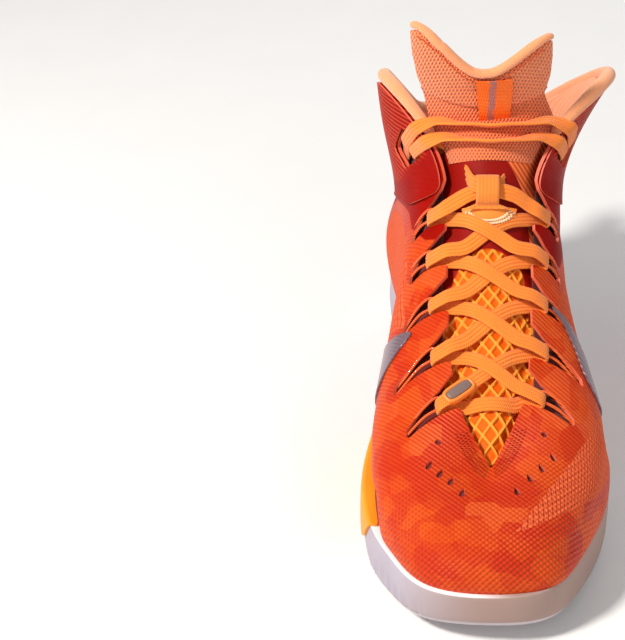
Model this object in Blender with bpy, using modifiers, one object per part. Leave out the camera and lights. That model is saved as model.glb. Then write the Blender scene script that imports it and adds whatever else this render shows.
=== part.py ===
"""Basketball high top: the left shoe of a pair, as the separate pieces it is sewn and bonded from.

Frame: +X is the outer (lateral) side of the foot, -Y the toe, +Z up. The origin lies on the ground
under the middle of the shoe. Every helper below works in millimetres and metres() makes the vertices.
"""
import math

import bmesh
import bpy
import numpy as np
from mathutils import Matrix, Vector

# Driving dimensions, in millimetres
SHELL = 1.6            # fused upper skin
LINING_FRONT = 5.0     # depth of the lining's face below the skin, forefoot and throat
LINING_COLLAR = 9.2    # the same behind the ankle padding
LINING_THICK = 1.0
TONGUE_THICK = 3.2
TONGUE_LINING = 1.0
LACE_WIDTH = 6.4
LACE_THICK = 1.3
CABLE_DIAMETER = 1.4
CABLE_SPREAD = 0.18    # half the distance between a loop's two legs, in stations
RIM_RADIUS = 3.2
SOLE_FLARE = 5.0       # how far the midsole stands out from the feather line
OUTSOLE_THICK = 4.0
CARRIER_WALL = 2.2
WINDOW = (0.36, 0.84)    # sill and head of the carrier's side openings, as shares of its height
TOE_SPRING = 11.0
HEEL_SPRING = 3.0
TAG_SIZE = (12.0, 9.4, 4.4)   # length, width and height of the sleeve on the lace
TAG_TUNNEL = (7.6, 2.8)
TAG_OFFSET = 1.6       # how far the sleeve sits towards the throat from the run's middle
TAG_LIFT = 1.2         # how far the lace stands off the eyestay under the tag
GAP = 0.35             # clearance between pieces that touch
STEP_U = 1.0 / 3.0     # facets of the upper, in stations
LOOP_STATIONS = (3.5, 4.3, 5.15, 5.95, 6.64)
SLOT_HALF = 0.24       # half a lace slot's width, in stations
BAR_STATION = 3.42     # the lace's straight run at the bottom of the throat
TOP_SLOT = (7.80, 8.29)
TOP_RUNS = (7.94, 8.15)
ORIGIN_SHIFT = (-1.6, 1.0, 0.0)

# Half of the last's cage, outer side, from the toe's middle to the heel's middle.
# Each station rises from the lasting margin to the throat or collar edge.
CAGE = [
    [(0, -141, 22), (0, -146, 27), (0, -148, 37), (0, -142, 48), (0, -125, 55), (0, -103, 57)],
    [(19, -136, 22), (23, -141, 27), (24, -142, 37), (22, -136, 48), (13, -121, 56), (1.5, -101, 58)],
    [(31, -119, 21.5), (36.5, -122, 26.5), (38.5, -124, 37), (36, -119, 48), (23, -109, 58), (4, -96, 60)],
    [(41, -94, 21), (47, -96, 26), (49.5, -96, 37), (46, -94, 51), (30, -90, 63), (9, -85, 66)],
    [(44, -62, 20.5), (50.5, -62, 25.5), (53, -62, 38), (49, -61, 57), (34, -60, 72), (15, -62, 78)],
    [(40, -28, 21), (46.5, -28, 26), (50, -28, 42), (47, -29, 66), (35, -32, 85), (17.5, -38, 93)],
    [(35, 6, 23), (41.5, 6, 28), (46, 6, 48), (44, 4, 76), (36, -4, 98), (18, -15, 109)],
    [(33, 36, 26), (39, 36, 31), (44, 36, 54), (41, 33, 86), (34, 22, 115), (20, 6, 128)],
    [(32.5, 62, 28.5), (38.5, 62, 33.5), (44, 62, 60), (39, 60, 92), (39, 46, 124), (27, 26, 149)],
    [(32, 86, 30.5), (38, 86, 35.5), (44, 87, 62), (37.5, 84, 94), (45, 72, 130), (46, 55, 166)],
    [(30, 107, 32), (36, 109, 37), (42, 111, 62), (34, 108, 92), (38, 102, 120), (42, 90, 146)],
    [(21, 126, 33), (26, 131, 38), (31, 134, 62), (24.5, 128, 90), (26, 124, 110), (30, 117, 127)],
    [(0, 137, 33.5), (0, 143, 38.5), (0, 147, 62), (0, 140, 90), (0, 136, 107), (0, 138, 121)],
]
ROW_LINES = np.array([0.0, 0.5, 1.0, 2.0, 3.0, 3.6, 4.0, 4.4, 4.75, 5.0])


# ---------------------------------------------------------------- the last's surface

def smooth(start, end, value):
    t = np.clip((value - start) / (end - start), 0, 1)
    return t * t * (3 - 2 * t)


def foot_warp(points):
    """Bend the symmetric cage into a left foot: swung forefoot, hollow arch, flared outer collar."""
    p = np.array(points, float)
    x, y, z = p[..., 0], p[..., 1], p[..., 2]
    forefoot = smooth(0, -90, y)
    toe = smooth(-90, -150, y)
    arch = np.exp(-((y - 25) / 42) ** 2) * smooth(95, 30, z)
    waist = np.exp(-((y - 0) / 50) ** 2) * smooth(120, 90, z)
    flare = smooth(135, 168, z)
    inner = x * (1 - 0.10 * arch) - 4 * flare
    outer = x * (1 - 0.13 * waist) + 12 * flare
    new_x = np.where(x < 0, inner, outer)
    new_x = new_x - 3.0 * toe + 1.5 * np.exp(-((y + 20) / 60) ** 2)
    new_x = new_x - 4.0 * smooth(20, 90, y) * smooth(150, 110, z)
    new_y = y + 0.15 * x * forefoot * (1 - toe)
    return np.stack([new_x, new_y, z], -1)


def control_net():
    """B-spline control points whose surface passes through every cage point."""
    outer = np.array(CAGE, float)
    inner = outer[1:-1][::-1] * np.array([-1, 1, 1])
    ring = foot_warp(np.concatenate([outer, inner]))
    n = len(ring)
    around = (4 * np.eye(n) + np.roll(np.eye(n), 1, 0) + np.roll(np.eye(n), -1, 0)) / 6
    net = np.linalg.solve(around, ring.reshape(n, -1)).reshape(ring.shape)
    rows = net.shape[1]
    up = np.eye(rows) * 4
    for i in range(1, rows - 1):
        up[i, i - 1] = up[i, i + 1] = 1
    up[0, 0] = up[-1, -1] = 6
    net = np.einsum('ij,njk->nik', np.linalg.inv(up / 6), net)
    first = 2 * net[:, :1] - net[:, 1:2]
    last = 2 * net[:, -1:] - net[:, -2:-1]
    return np.concatenate([first, net, last], 1)


NET = control_net()
STATIONS = NET.shape[0]


def basis(t):
    return np.stack([(1 - t) ** 3, 3 * t ** 3 - 6 * t ** 2 + 4,
                     -3 * t ** 3 + 3 * t ** 2 + 3 * t + 1, t ** 3], -1) / 6


def slopes(t):
    return np.stack([-3 * (1 - t) ** 2, 9 * t ** 2 - 12 * t, -9 * t ** 2 + 6 * t + 3, 3 * t ** 2], -1) / 6


def smooth_skin(u, v, depth=0.0):
    """Point of the upper at station u (0 toe, 12 heel) and row v, moved inwards by depth."""
    u, v, depth = np.broadcast_arrays(np.asarray(u, float), np.asarray(v, float), np.asarray(depth, float))
    iu = np.floor(u).astype(int)
    iv = np.clip(np.floor(v).astype(int), 0, NET.shape[1] - 4)
    columns = (iu[..., None] + np.arange(-1, 3)) % STATIONS
    rows = iv[..., None] + np.arange(0, 4)
    patch = NET[columns[..., :, None], rows[..., None, :]]

    def blend(a, b):
        return np.einsum('...i,...j,...ijk->...k', a, b, patch)

    across, along = blend(slopes(u - iu), basis(v - iv)), blend(basis(u - iu), slopes(v - iv))
    normal = np.cross(across, along)
    normal /= np.linalg.norm(normal, axis=-1, keepdims=True) + 1e-12
    return blend(basis(u - iu), basis(v - iv)) - normal * depth[..., None]


def skin(u, v, depth=0.0):
    """The same surface as flat facets between the station and row lines, so that layers stay parallel."""
    u, v, depth = np.broadcast_arrays(np.asarray(u, float), np.asarray(v, float), np.asarray(depth, float))
    k = np.clip(np.searchsorted(ROW_LINES, v, side='right') - 1, 0, len(ROW_LINES) - 2)
    low, high = ROW_LINES[k], ROW_LINES[k + 1]
    b = ((v - low) / (high - low))[..., None]
    u0 = np.floor(u / STEP_U + 1e-6) * STEP_U
    a = ((u - u0) / STEP_U)[..., None]
    u1 = u0 + STEP_U
    bottom = smooth_skin(u0, low, depth) * (1 - a) + smooth_skin(u1, low, depth) * a
    top = smooth_skin(u0, high, depth) * (1 - a) + smooth_skin(u1, high, depth) * a
    return bottom * (1 - b) + top * b


def side_u(side, u):
    """Station on the outer side (side 1) or its mirror on the inner side (side -1)."""
    return u if side > 0 else STATIONS - u


# ---------------------------------------------------------------- mesh helpers

def metres(points):
    return (np.asarray(points, float) + np.array(ORIGIN_SHIFT)) * 0.001


def material(name, colour, roughness=0.7, metallic=0.0):
    mat = bpy.data.materials.new(name)
    mat.use_nodes = True
    shader = mat.node_tree.nodes["Principled BSDF"]
    shader.inputs["Base Color"].default_value = (*colour, 1.0)
    shader.inputs["Roughness"].default_value = roughness
    shader.inputs["Metallic"].default_value = metallic
    return mat


def new_collection(name):
    collection = bpy.data.collections.new(name)
    bpy.context.scene.collection.children.link(collection)
    return collection


def add_object(name, data, mat, collection):
    obj = bpy.data.objects.new(name, data)
    collection.objects.link(obj)
    if mat is not None:
        data.materials.append(mat)
    return obj


def mesh_from_bmesh(bm, name, mat, closed=True):
    if closed:
        bmesh.ops.recalc_face_normals(bm, faces=bm.faces)
    mesh = bpy.data.meshes.new(name)
    bm.to_mesh(mesh)
    bm.free()
    mesh.shade_smooth()
    mesh.set_sharp_from_angle(angle=math.radians(40))
    return add_object(name, mesh, mat, SHOE)


def sheet(name, grid, mat, thickness, skip=None):
    """An open grid of points, outer face first, given its thickness inwards by Solidify."""
    bm = bmesh.new()
    count_u, count_v = grid.shape[:2]
    cells = [(i, j) for i in range(count_u - 1) for j in range(count_v - 1)
             if skip is None or not skip(i, j)]
    verts = {}
    points = metres(grid)

    def vert(i, j):
        if (i, j) not in verts:
            verts[i, j] = bm.verts.new(points[i, j])
        return verts[i, j]

    for i, j in cells:
        bm.faces.new((vert(i, j), vert(i + 1, j), vert(i + 1, j + 1), vert(i, j + 1)))
    obj = mesh_from_bmesh(bm, name, mat, closed=False)
    solidify = obj.modifiers.new("thickness", 'SOLIDIFY')
    solidify.thickness = thickness * 0.001
    solidify.offset = -1.0
    return obj


def skin_sheet(name, us, vs, depth, thickness, mat, skip=None):
    """A panel of the upper; depth is a number or a function of station and row."""
    uu, vv = np.meshgrid(us, vs, indexing='ij')
    dd = depth(uu, vv) if callable(depth) else np.full_like(uu, depth)
    cell_skip = None
    if skip is not None:
        def cell_skip(i, j):
            return skip((us[i] + us[i + 1]) / 2, (vs[j] + vs[j + 1]) / 2)
    return sheet(name, skin(uu, vv, dd), mat, thickness, cell_skip)


def loft(name, rings, mat):
    """A closed body through rings that run from the toe round by the outer side, lowest ring first."""
    bm = bmesh.new()
    levels = [[bm.verts.new(p) for p in metres(ring)] for ring in rings]
    n = len(levels[0])
    for low, high in zip(levels, levels[1:]):
        for i in range(n):
            j = (i + 1) % n
            bm.faces.new((low[i], low[j], high[j], high[i]))
    half = n // 2
    for ring in (levels[0], levels[-1]):
        bm.faces.new((ring[0], ring[1], ring[n - 1]))
        for i in range(1, half - 1):
            bm.faces.new((ring[i], ring[i + 1], ring[n - i - 1], ring[n - i]))
        bm.faces.new((ring[half - 1], ring[half], ring[half + 1]))
    return mesh_from_bmesh(bm, name, mat)


def ribbon(name, points, across, width, thick, mat):
    """A flat band along points, its width turned towards the across direction at each point."""
    p = np.asarray(points, float)
    tangent = np.gradient(p, axis=0)
    tangent /= np.linalg.norm(tangent, axis=1, keepdims=True)
    wide = across - tangent * np.sum(across * tangent, 1, keepdims=True)
    wide /= np.linalg.norm(wide, axis=1, keepdims=True)
    out = np.cross(tangent, wide)
    signs = ((-1, -1), (1, -1), (1, 1), (-1, 1))
    corners = [p + wide * sx * width / 2 + out * sy * thick / 2 for sx, sy in signs]
    bm = bmesh.new()
    rows = [[bm.verts.new(metres(c[i])) for c in corners] for i in range(len(p))]
    for a, b in zip(rows, rows[1:]):
        for i in range(4):
            j = (i + 1) % 4
            bm.faces.new((a[i], a[j], b[j], b[i]))
    bm.faces.new(rows[0][::-1])
    bm.faces.new(rows[-1])
    return mesh_from_bmesh(bm, name, mat)


def tube(name, points, diameter, mat, bevel_resolution=2):
    curve = bpy.data.curves.new(name, 'CURVE')
    curve.dimensions = '3D'
    curve.bevel_depth = diameter * 0.0005
    curve.bevel_resolution = bevel_resolution
    curve.use_fill_caps = True
    spline = curve.splines.new('POLY')
    pts = metres(points)
    spline.points.add(len(pts) - 1)
    for point, co in zip(spline.points, pts):
        point.co = (*co, 1.0)
    return add_object(name, curve, mat, SHOE)


def through(points, count):
    """count points of a smooth curve through the given ones."""
    p = np.asarray(points, float)
    ext = np.concatenate([2 * p[:1] - p[1:2], p, 2 * p[-1:] - p[-2:-1]])
    t = np.linspace(0, len(p) - 1 - 1e-9, count)
    i = t.astype(int)
    f = (t - i)[:, None]
    a, b, c, d = ext[i], ext[i + 1], ext[i + 2], ext[i + 3]
    squared = (2 * a - 5 * b + 4 * c - d) * f ** 2
    cubed = (3 * b - a - 3 * c + d) * f ** 3
    return 0.5 * (2 * b + (c - a) * f + squared + cubed)


def stations(start, end, step=STEP_U):
    """Station lines from start to end with the facet lines in between."""
    inner = np.arange(math.ceil((start + 0.08) / step), math.floor((end - 0.08) / step) + 1) * step
    return np.concatenate([[start], inner, [end]])


# ---------------------------------------------------------------- sole unit

RING_U = np.arange(0, STATIONS, 0.5)


def spring(y):
    return (np.where(y < -90, TOE_SPRING * ((-90 - y) / 60) ** 2, 0)
            + np.where(y > 125, HEEL_SPRING * ((y - 125) / 25) ** 2, 0))


def feather(offset, row=1.0):
    """Outline of the upper where it meets the sole, moved outwards by offset in plan."""
    p = smooth_skin(RING_U, row)
    ahead = smooth_skin(RING_U + 0.05, row) - smooth_skin(RING_U - 0.05, row)
    out = np.stack([ahead[:, 1], -ahead[:, 0], 0 * ahead[:, 0]], -1)
    out /= np.linalg.norm(out, axis=1, keepdims=True)
    return p + out * (offset if np.isscalar(offset) else np.asarray(offset)[:, None])


def sole_ring(offset, lift=0.0, share=0.0):
    """Ring at share of the way from the ground line (0) to the feather line (1), raised by lift."""
    ring = feather(offset)
    ground = spring(ring[:, 1])
    ring[:, 2] = ground + (ring[:, 2] - ground) * share + lift
    return ring


def window_share(u):
    """1 inside the openings of the carrier's sides, where the foam core shows."""
    inner = smooth(18.5, 19.0, u) * smooth(21.5, 21.0, u)
    outer = smooth(3.5, 4.0, u) * smooth(5.5, 5.0, u)
    return inner + outer


def build_outsole():
    rings = [sole_ring(-1.0), sole_ring(2.2, 1.0), sole_ring(SOLE_FLARE - 1.2, OUTSOLE_THICK)]
    loft("outsole", rings, RUBBER)


def build_carrier():
    """Tray of firm foam with an opening in each side of the forefoot."""
    base = OUTSOLE_THICK + GAP
    top = 3.2 + 1.2 * smooth(60, 130, feather(0.0)[:, 1])
    rings = [sole_ring(-4.0, base), sole_ring(SOLE_FLARE - 1.0, base + 0.4),
             sole_ring(SOLE_FLARE, 0, WINDOW[0]), sole_ring(SOLE_FLARE - 0.2, 0, WINDOW[1]),
             sole_ring(top, 0.8, 1.0)]
    bm = bmesh.new()
    levels = [[bm.verts.new(p) for p in metres(ring)] for ring in rings]
    n = len(RING_U)
    for level, (low, high) in enumerate(zip(levels, levels[1:])):
        for i in range(n):
            j = (i + 1) % n
            middle = RING_U[i] + 0.25
            opening = 18.5 < middle < 21.5 or 3.5 < middle < 5.5
            if level == 2 and opening:
                continue
            bm.faces.new((low[i], low[j], high[j], high[i]))
    floor = levels[0]
    half = n // 2
    bm.faces.new((floor[0], floor[n - 1], floor[1]))
    for i in range(1, half - 1):
        bm.faces.new((floor[i], floor[n - i], floor[n - i - 1], floor[i + 1]))
    bm.faces.new((floor[half - 1], floor[half + 1], floor[half]))
    obj = mesh_from_bmesh(bm, "midsole_carrier", CARRIER, closed=False)
    solidify = obj.modifiers.new("wall", 'SOLIDIFY')
    solidify.thickness = CARRIER_WALL * 0.001
    solidify.offset = -1.0


def foam_ring(offset, height, below_margin):
    """Ring of the foam core; at the toe it is drawn back and kept under the lasting margin."""
    y = feather(0.0)[:, 1]
    ring = feather(offset - 13.0 * smooth(-95, -145, y))
    ground = spring(ring[:, 1])
    margin = smooth_skin(RING_U, 0.0)[:, 2]
    free = height(ground, margin, feather(0.0)[:, 2])
    toe = smooth(-86, -96, y)
    ring[:, 2] = free * (1 - toe) + np.minimum(free, margin - below_margin) * toe
    return ring


def build_foam_core():
    floor = OUTSOLE_THICK + GAP + CARRIER_WALL + 0.7
    wall = SOLE_FLARE - CARRIER_WALL - 0.9
    bulge = wall + 2.6 * window_share(RING_U + 0.0)
    rings = [foam_ring(wall - 3.5, lambda g, m, f: g + floor, 6.0),
             foam_ring(wall, lambda g, m, f: g + (f - g) * WINDOW[0] + 0.6, 5.2),
             foam_ring(bulge, lambda g, m, f: g + (f - g) * WINDOW[0] + 1.4, 4.8),
             foam_ring(bulge, lambda g, m, f: g + (f - g) * WINDOW[1] - 1.4, 4.2),
             foam_ring(wall, lambda g, m, f: g + (f - g) * WINDOW[1] - 0.6, 3.8),
             foam_ring(wall - 3.0, lambda g, m, f: m - 3.4, 3.4)]
    loft("foam_core", rings, FOAM)


def inside_ring(inset, lift):
    """Ring on the level of the lasting margin, inside the upper."""
    ring = feather(-inset)
    ring[:, 2] = smooth_skin(RING_U, 0.0)[:, 2] + lift
    return ring


def build_footbed():
    loft("strobel_board", [inside_ring(9.0, -0.7), inside_ring(9.0, 0.9)], BOARD)
    cup = [inside_ring(11.5, 1.5), inside_ring(8.5, 3.0), inside_ring(8.2, 6.2), inside_ring(11.5, 6.0)]
    loft("sockliner", cup, SOCKLINER)
    us = np.linspace(-38, 72, 8)
    half = 15.0
    margin = np.interp(us, [-62, -28, 6, 36, 62, 86], [20.5, 21, 23, 26, 28.5, 30.5])
    grid = np.stack([np.stack([np.array([x - 3.0 * smooth(20, 90, y), y, z - 1.4])
                               for x in (-half, -5.0, 5.0, half)]) for y, z in zip(us, margin)])
    sheet("shank_plate", grid[::-1], SHANK, 1.2)


# ---------------------------------------------------------------- upper

def build_shells():
    def margin_rows(top):
        return ROW_LINES[ROW_LINES <= top + 1e-6]

    skin_sheet("toe_box", stations(-2.97, 2.97), ROW_LINES, 0.0, SHELL, VAMP)
    for side, name in ((1, "lateral"), (-1, "medial")):
        us = stations(3.03, 10.97)
        vs = np.concatenate([margin_rows(3.6), [3.86, 4.75]])
        vs = np.sort(np.concatenate([vs, [4.4]]))
        if side < 0:
            us = STATIONS - us[::-1]

        def above_eyestay(u, v, side=side):
            return v > 3.86 and side_u(side, u) < 9.0

        skin_sheet("quarter_" + name, us, vs, 0.0, SHELL, QUARTER, above_eyestay)
        build_eyestay(side, name)
    skin_sheet("heel_panel", stations(11.03, 12.97), margin_rows(4.75), 0.0, SHELL, HEEL)


def build_eyestay(side, name):
    """Strip along the throat, with a slot for each cable loop and a long one for the two top runs."""
    us = [3.03]
    for station in LOOP_STATIONS:
        us += [station - SLOT_HALF, station + SLOT_HALF]
    us = np.array(us + list(TOP_SLOT) + [8.66, 8.96])
    vs = np.array([3.9, 4.1, 4.75, 5.0])
    slots = [(k - SLOT_HALF, k + SLOT_HALF) for k in LOOP_STATIONS] + [TOP_SLOT]
    if side < 0:
        us = STATIONS - us[::-1]

    def slotted(u, v):
        here = side_u(side, u)
        return 4.1 < v < 4.75 and any(a <= here <= b for a, b in slots)

    skin_sheet("eyestay_" + name, us, vs, 0.0, SHELL, EYESTAY, slotted)


def lining_depth(u, v):
    """Lining lies close in the forefoot and stands in behind the ankle padding."""
    here = np.where(u > 12, STATIONS - u, u)
    return LINING_FRONT + (LINING_COLLAR - LINING_FRONT) * smooth(8.5, 9.2, here) * smooth(2.9, 3.5, v)


def build_inside():
    vs = np.array([0.9, 1.5, 2.0, 3.0, 3.6, 4.15])
    for side, name in ((1, "lateral"), (-1, "medial")):
        us = np.array([0.04] + list(np.arange(0.5, 8.6, 0.5)) + [9.2, 9.5, 10, 10.5, 11, 11.5, 11.96])
        if side < 0:
            us = STATIONS - us[::-1]
        rows = np.sort(np.concatenate([vs, [4.7]]))

        def above_collar(u, v, side=side):
            return v > 4.15 and side_u(side, u) < 9.2

        skin_sheet("lining_" + name, us, rows, lining_depth, LINING_THICK, LINING, above_collar)
        pad = stations(9.3, 11.3, 0.5)
        if side < 0:
            pad = STATIONS - pad[::-1]
        skin_sheet("collar_pad_" + name, pad, np.array([3.6, 4.0, 4.4]), 2.3, 5.6, PADDING)
    skin_sheet("achilles_pad", stations(11.4, 12.6), np.array([3.6, 4.0, 4.4]), 2.3, 5.6, PADDING)
    skin_sheet("toe_puff", stations(-2.0, 2.0, 0.5), np.array([1.1, 2.0, 3.0, 3.6]), 2.1, 1.2, STIFFENER)
    rows = np.array([1.1, 2.0, 3.0, 3.4])
    skin_sheet("heel_stiffener", stations(10.0, 14.0, 0.5), rows, 2.1, 1.4, STIFFENER)


# Row, front station and back station of the side flashes' edges
FLASH_ROWS = {
    "lateral": ((4.0, 4.97, 5.11), (3.65, 4.64, 4.98), (3.3, 4.20, 4.82),
                (2.85, 4.07, 4.77), (2.2, 4.27, 4.90), (1.65, 4.66, 5.18)),
    "medial": ((3.95, 4.77, 4.86), (3.5, 4.66, 4.95), (3.0, 4.56, 5.10),
               (2.5, 4.55, 5.33), (2.0, 4.70, 5.52), (1.65, 5.00, 5.64)),
}


def build_outside():
    skin_sheet("heel_counter", stations(10.33, 13.67), np.array([1.4, 2.0, 2.7]), -2.0, 1.5, COUNTER)
    for side, name in ((1, "lateral"), (-1, "medial")):
        build_flash(side, name)


def build_flash(side, name):
    """Plain tapered side flash over the quarter, from its tip by the slots down to the sole."""
    rows = np.array(FLASH_ROWS[name])
    grid = []
    for v in np.linspace(rows[0, 0], rows[-1, 0], 11):
        front, back = [np.interp(v, rows[::-1, 0], rows[::-1, k]) for k in (1, 2)]
        us = front + (back - front) * np.linspace(0, 1, 6)
        grid.append(skin(side_u(side, us), v, -1.9))
    grid = np.array(grid)
    if side < 0:
        grid = grid[::-1]
    sheet("side_flash_" + name, grid, FLASH, 0.8)


def build_collar_rim():
    us = np.linspace(9.1, STATIONS - 9.1, 34)
    tube("collar_rim", skin(us, 4.93, 4.6), 2 * RIM_RADIUS, RIM, 2)


# ---------------------------------------------------------------- tongue

TONGUE_LIFT = ((1.2, -5.0), (3.0, -0.8), (6.0, 0.0), (7.0, 5.0), (8.0, 9.0), (8.3, 10.0))


def throat_middle(u):
    """Middle of the throat at station u, and the direction out of the shoe there."""
    def middle(s):
        return (skin(s, 5.0) + skin(STATIONS - s, 5.0)) / 2
    along = middle(u + 0.1) - middle(u - 0.1)
    along[0] = 0.0
    along /= np.linalg.norm(along)
    out = np.array([0.0, -along[2], along[1]])
    return middle(u), out, along


def tongue_point(u, g, depth=0.0):
    """Outer face of the tongue: g is 0 in the middle, 1 under each throat edge, 2 at the tongue's side."""
    lift = np.interp(u, [a for a, b in TONGUE_LIFT], [b for a, b in TONGUE_LIFT])
    middle, out, along = throat_middle(u)
    centre = middle + out * (lift - depth) - np.array([2.0 * smooth(4, 8, u), 0, 0])
    side = side_u(1 if g >= 0 else -1, u)
    edge = skin(side, 5.0, LINING_FRONT + 0.8 + depth)
    wing = skin(side, 4.5, LINING_FRONT + 1.2 + depth)
    a = abs(g)
    if a <= 1:
        return centre * (1 - a ** 2) + edge * a ** 2 + (edge - centre) * (a - a ** 2) * np.array([1, 0, 0])
    return edge + (wing - edge) * (a - 1)


def tongue_grid(us, gs, depth=0.0):
    return np.array([[tongue_point(u, g, depth) for g in gs] for u in us])


TOP_ROWS = (((-2, 20.5, 164), 26, 9), ((-3, 16.5, 174), 28, 10), ((-4, 11.5, 184), 28.5, 11),
            ((-5, 7.0, 196), 29.5, 12), ((-5, 4.0, 208), 29.5, 13))


def top_point(t, g, depth=0.0):
    """Face of the padded tongue top; t counts rows upwards and g runs from side to side."""
    i = int(min(math.floor(t), len(TOP_ROWS) - 2))
    f = t - i
    low, high = TOP_ROWS[i], TOP_ROWS[i + 1]
    centre = np.array(low[0]) * (1 - f) + np.array(high[0]) * f
    half = low[1] * (1 - f) + high[1] * f
    drop = low[2] * (1 - f) + high[2] * f
    rise = np.array(high[0], float) - np.array(low[0], float)
    rise[0] = 0
    rise /= np.linalg.norm(rise)
    out = np.array([0.0, -rise[2], rise[1]])
    return centre + np.array([half * g, 0, 0]) - out * (drop * g * g + depth)


def top_edge(g):
    """How high the tongue top reaches: a dip between two peaks, the inner one the higher."""
    a = abs(g)
    return 2.0 + (1.6 if g < 0 else 1.0) * smooth(0.0, 0.9, a) - 0.35 * smooth(0.9, 1.0, a)


def top_grid(depth=0.0, low=0.0, trim=0.0):
    gs = np.linspace(-1, 1, 13)
    rows = np.linspace(0, 1, 6)
    return np.array([[top_point(low + (top_edge(g) - trim - low) * r, g, depth) for g in gs] for r in rows])


def build_tongue():
    us = np.linspace(1.3, 8.12, 16)
    gs = np.array([-2, -1, -0.5, 0, 0.5, 1, 2])
    inner_us = np.linspace(2.9, 7.7, 12)
    sheet("tongue_body", tongue_grid(us, gs)[:, ::-1], LATTICE, TONGUE_THICK)
    sheet("tongue_lining", tongue_grid(inner_us, gs, TONGUE_THICK + 1.5)[:, ::-1], LINING, TONGUE_LINING)
    sheet("tongue_top", top_grid(0.0, 0.0, 0.5)[:, ::-1], TONGUE_MESH, 6.0)
    edge = [top_point(top_edge(g) - 0.05, g, 3.0) for g in np.linspace(-0.97, 0.97, 23)]
    tube("tongue_binding", edge, 4.2, RIM, 1)
    stripe = [[top_point(t, g, -1.1) for g in (0.22, 0.0, -0.22)] for t in (0.15, 0.8, 1.5)]
    sheet("tongue_stripe", np.array(stripe), STRIPE, 0.7)


def build_keeper():
    """Webbing bridge on the tongue, which the laces cross under, on a half-round patch."""
    middle, out, along = throat_middle(7.08)
    base = tongue_point(7.08, 0.0)
    profile = [(-9.8, 1.3), (-8.0, 2.4), (-6.8, 6.4), (-3.5, 9.8), (3.5, 10.2), (7.2, 8.2), (8.8, 4.6)]
    points = through([base + along * a + out * b for a, b in profile], 12)
    ribbon("tongue_keeper", points, np.tile([1.0, 0, 0], (len(points), 1)), 10.0, 1.1, KEEPER)
    rows = ((6.55, 0.10), (6.60, 0.25), (6.66, 0.32))
    gs = (1.0, 0.5, 0.0, -0.5, -1.0)
    grid = [[tongue_point(u, g * half, -1.4) for g in gs] for u, half in rows]
    sheet("keeper_patch", np.array(grid), KEEPER, 0.9)


# ---------------------------------------------------------------- cables and lace

def build_cables():
    """Two-legged tension cables: each comes up from the sole under the quarter and ends in a slot."""
    legs = ((1.3, 3.0), (2.0, 3.0), (3.0, 3.0), (3.6, 3.0), (4.0, 3.0), (4.25, 2.3), (4.45, 1.0))
    for side, name in ((1, "lateral"), (-1, "medial")):
        for index, station in enumerate(LOOP_STATIONS):
            up = [(station - CABLE_SPREAD, v, d) for v, d in legs]
            bend = [(station - 0.13, 4.55, 0.8), (station, 4.58, 0.8), (station + 0.13, 4.55, 0.8)]
            down = [(station + CABLE_SPREAD, v, d) for v, d in legs[::-1]]
            points = [skin(side_u(side, u), v, d) for u, v, d in up + bend + down]
            tube(f"cable_loop_{name}_{index + 1}", points, CABLE_DIAMETER, CABLE, 1)


UPPER_HEIGHTS = (7.0, 5.8, 4.2, 3.9, 3.6, 2.2, 1.8)
LOWER_HEIGHTS = (7.0, 4.4, 2.0, 1.6, 1.5, 1.5, 1.7)
TAG_INDEX = 9          # lace point at which the sleeve starts
TAGGED_HEIGHTS = (8.2, 6.0, 3.6, 2.0, 1.5, 1.5, 1.7)


def tongue_out(u, g):
    a = tongue_point(u, g + 0.05) - tongue_point(u, g - 0.05)
    b = tongue_point(u + 0.05, g) - tongue_point(u - 0.05, g)
    n = np.cross(a, b)
    return n / np.linalg.norm(n)


class Lace:
    """Route of the lace's centre line with the direction that its width points in."""

    def __init__(self):
        self.points = []
        self.across = []

    def on_skin(self, side, u, v, depth):
        s = side_u(side, u)
        self.points.append(skin(s, v, depth))
        way = skin(s + 0.05, v, depth) - skin(s - 0.05, v, depth)
        self.across.append(way * side / np.linalg.norm(way))

    def on_tongue(self, u, g, height):
        self.points.append(tongue_point(u, g) + tongue_out(u, g) * height)
        way = tongue_point(u + 0.05, g) - tongue_point(u - 0.05, g)
        self.across.append(way / np.linalg.norm(way))

    def straighten(self, start, end):
        """Lay the points from start to end on one line, without twist."""
        for i in range(start, end + 1):
            share = (i - start) / (end - start)
            if start < i < end:
                self.points[i] = self.points[start] * (1 - share) + self.points[end] * share
            self.across[i] = self.across[start]

    def sweep(self, knots):
        """Straight in station and side share between the knots, with a point half way between them."""
        for start, end in zip(knots, knots[1:]):
            for share in (0.0, 0.5):
                self.on_tongue(*[a + (b - a) * share for a, b in zip(start, end)])
        self.on_tongue(*knots[-1])

    def through_loop(self, side, u, lifted=0.0):
        for v, depth in ((4.9, 3.4), (4.72, 3.1), (4.55, 2.9), (4.42, 0.8),
                         (4.55, -1.4 - lifted), (4.78, -2.0 - lifted), (5.0, -2.4 - lifted)):
            self.on_skin(side, u, v, depth)

    def cross(self, side, start, end, heights):
        shares = np.linspace(0, 1, 7)[1:-1]
        for share, height in zip(shares, heights[1:-1]):
            progress = 1 - (1 - share) ** 1.3
            self.on_tongue(start + (end - start) * progress, side * (1 - 2 * share), height)


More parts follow.
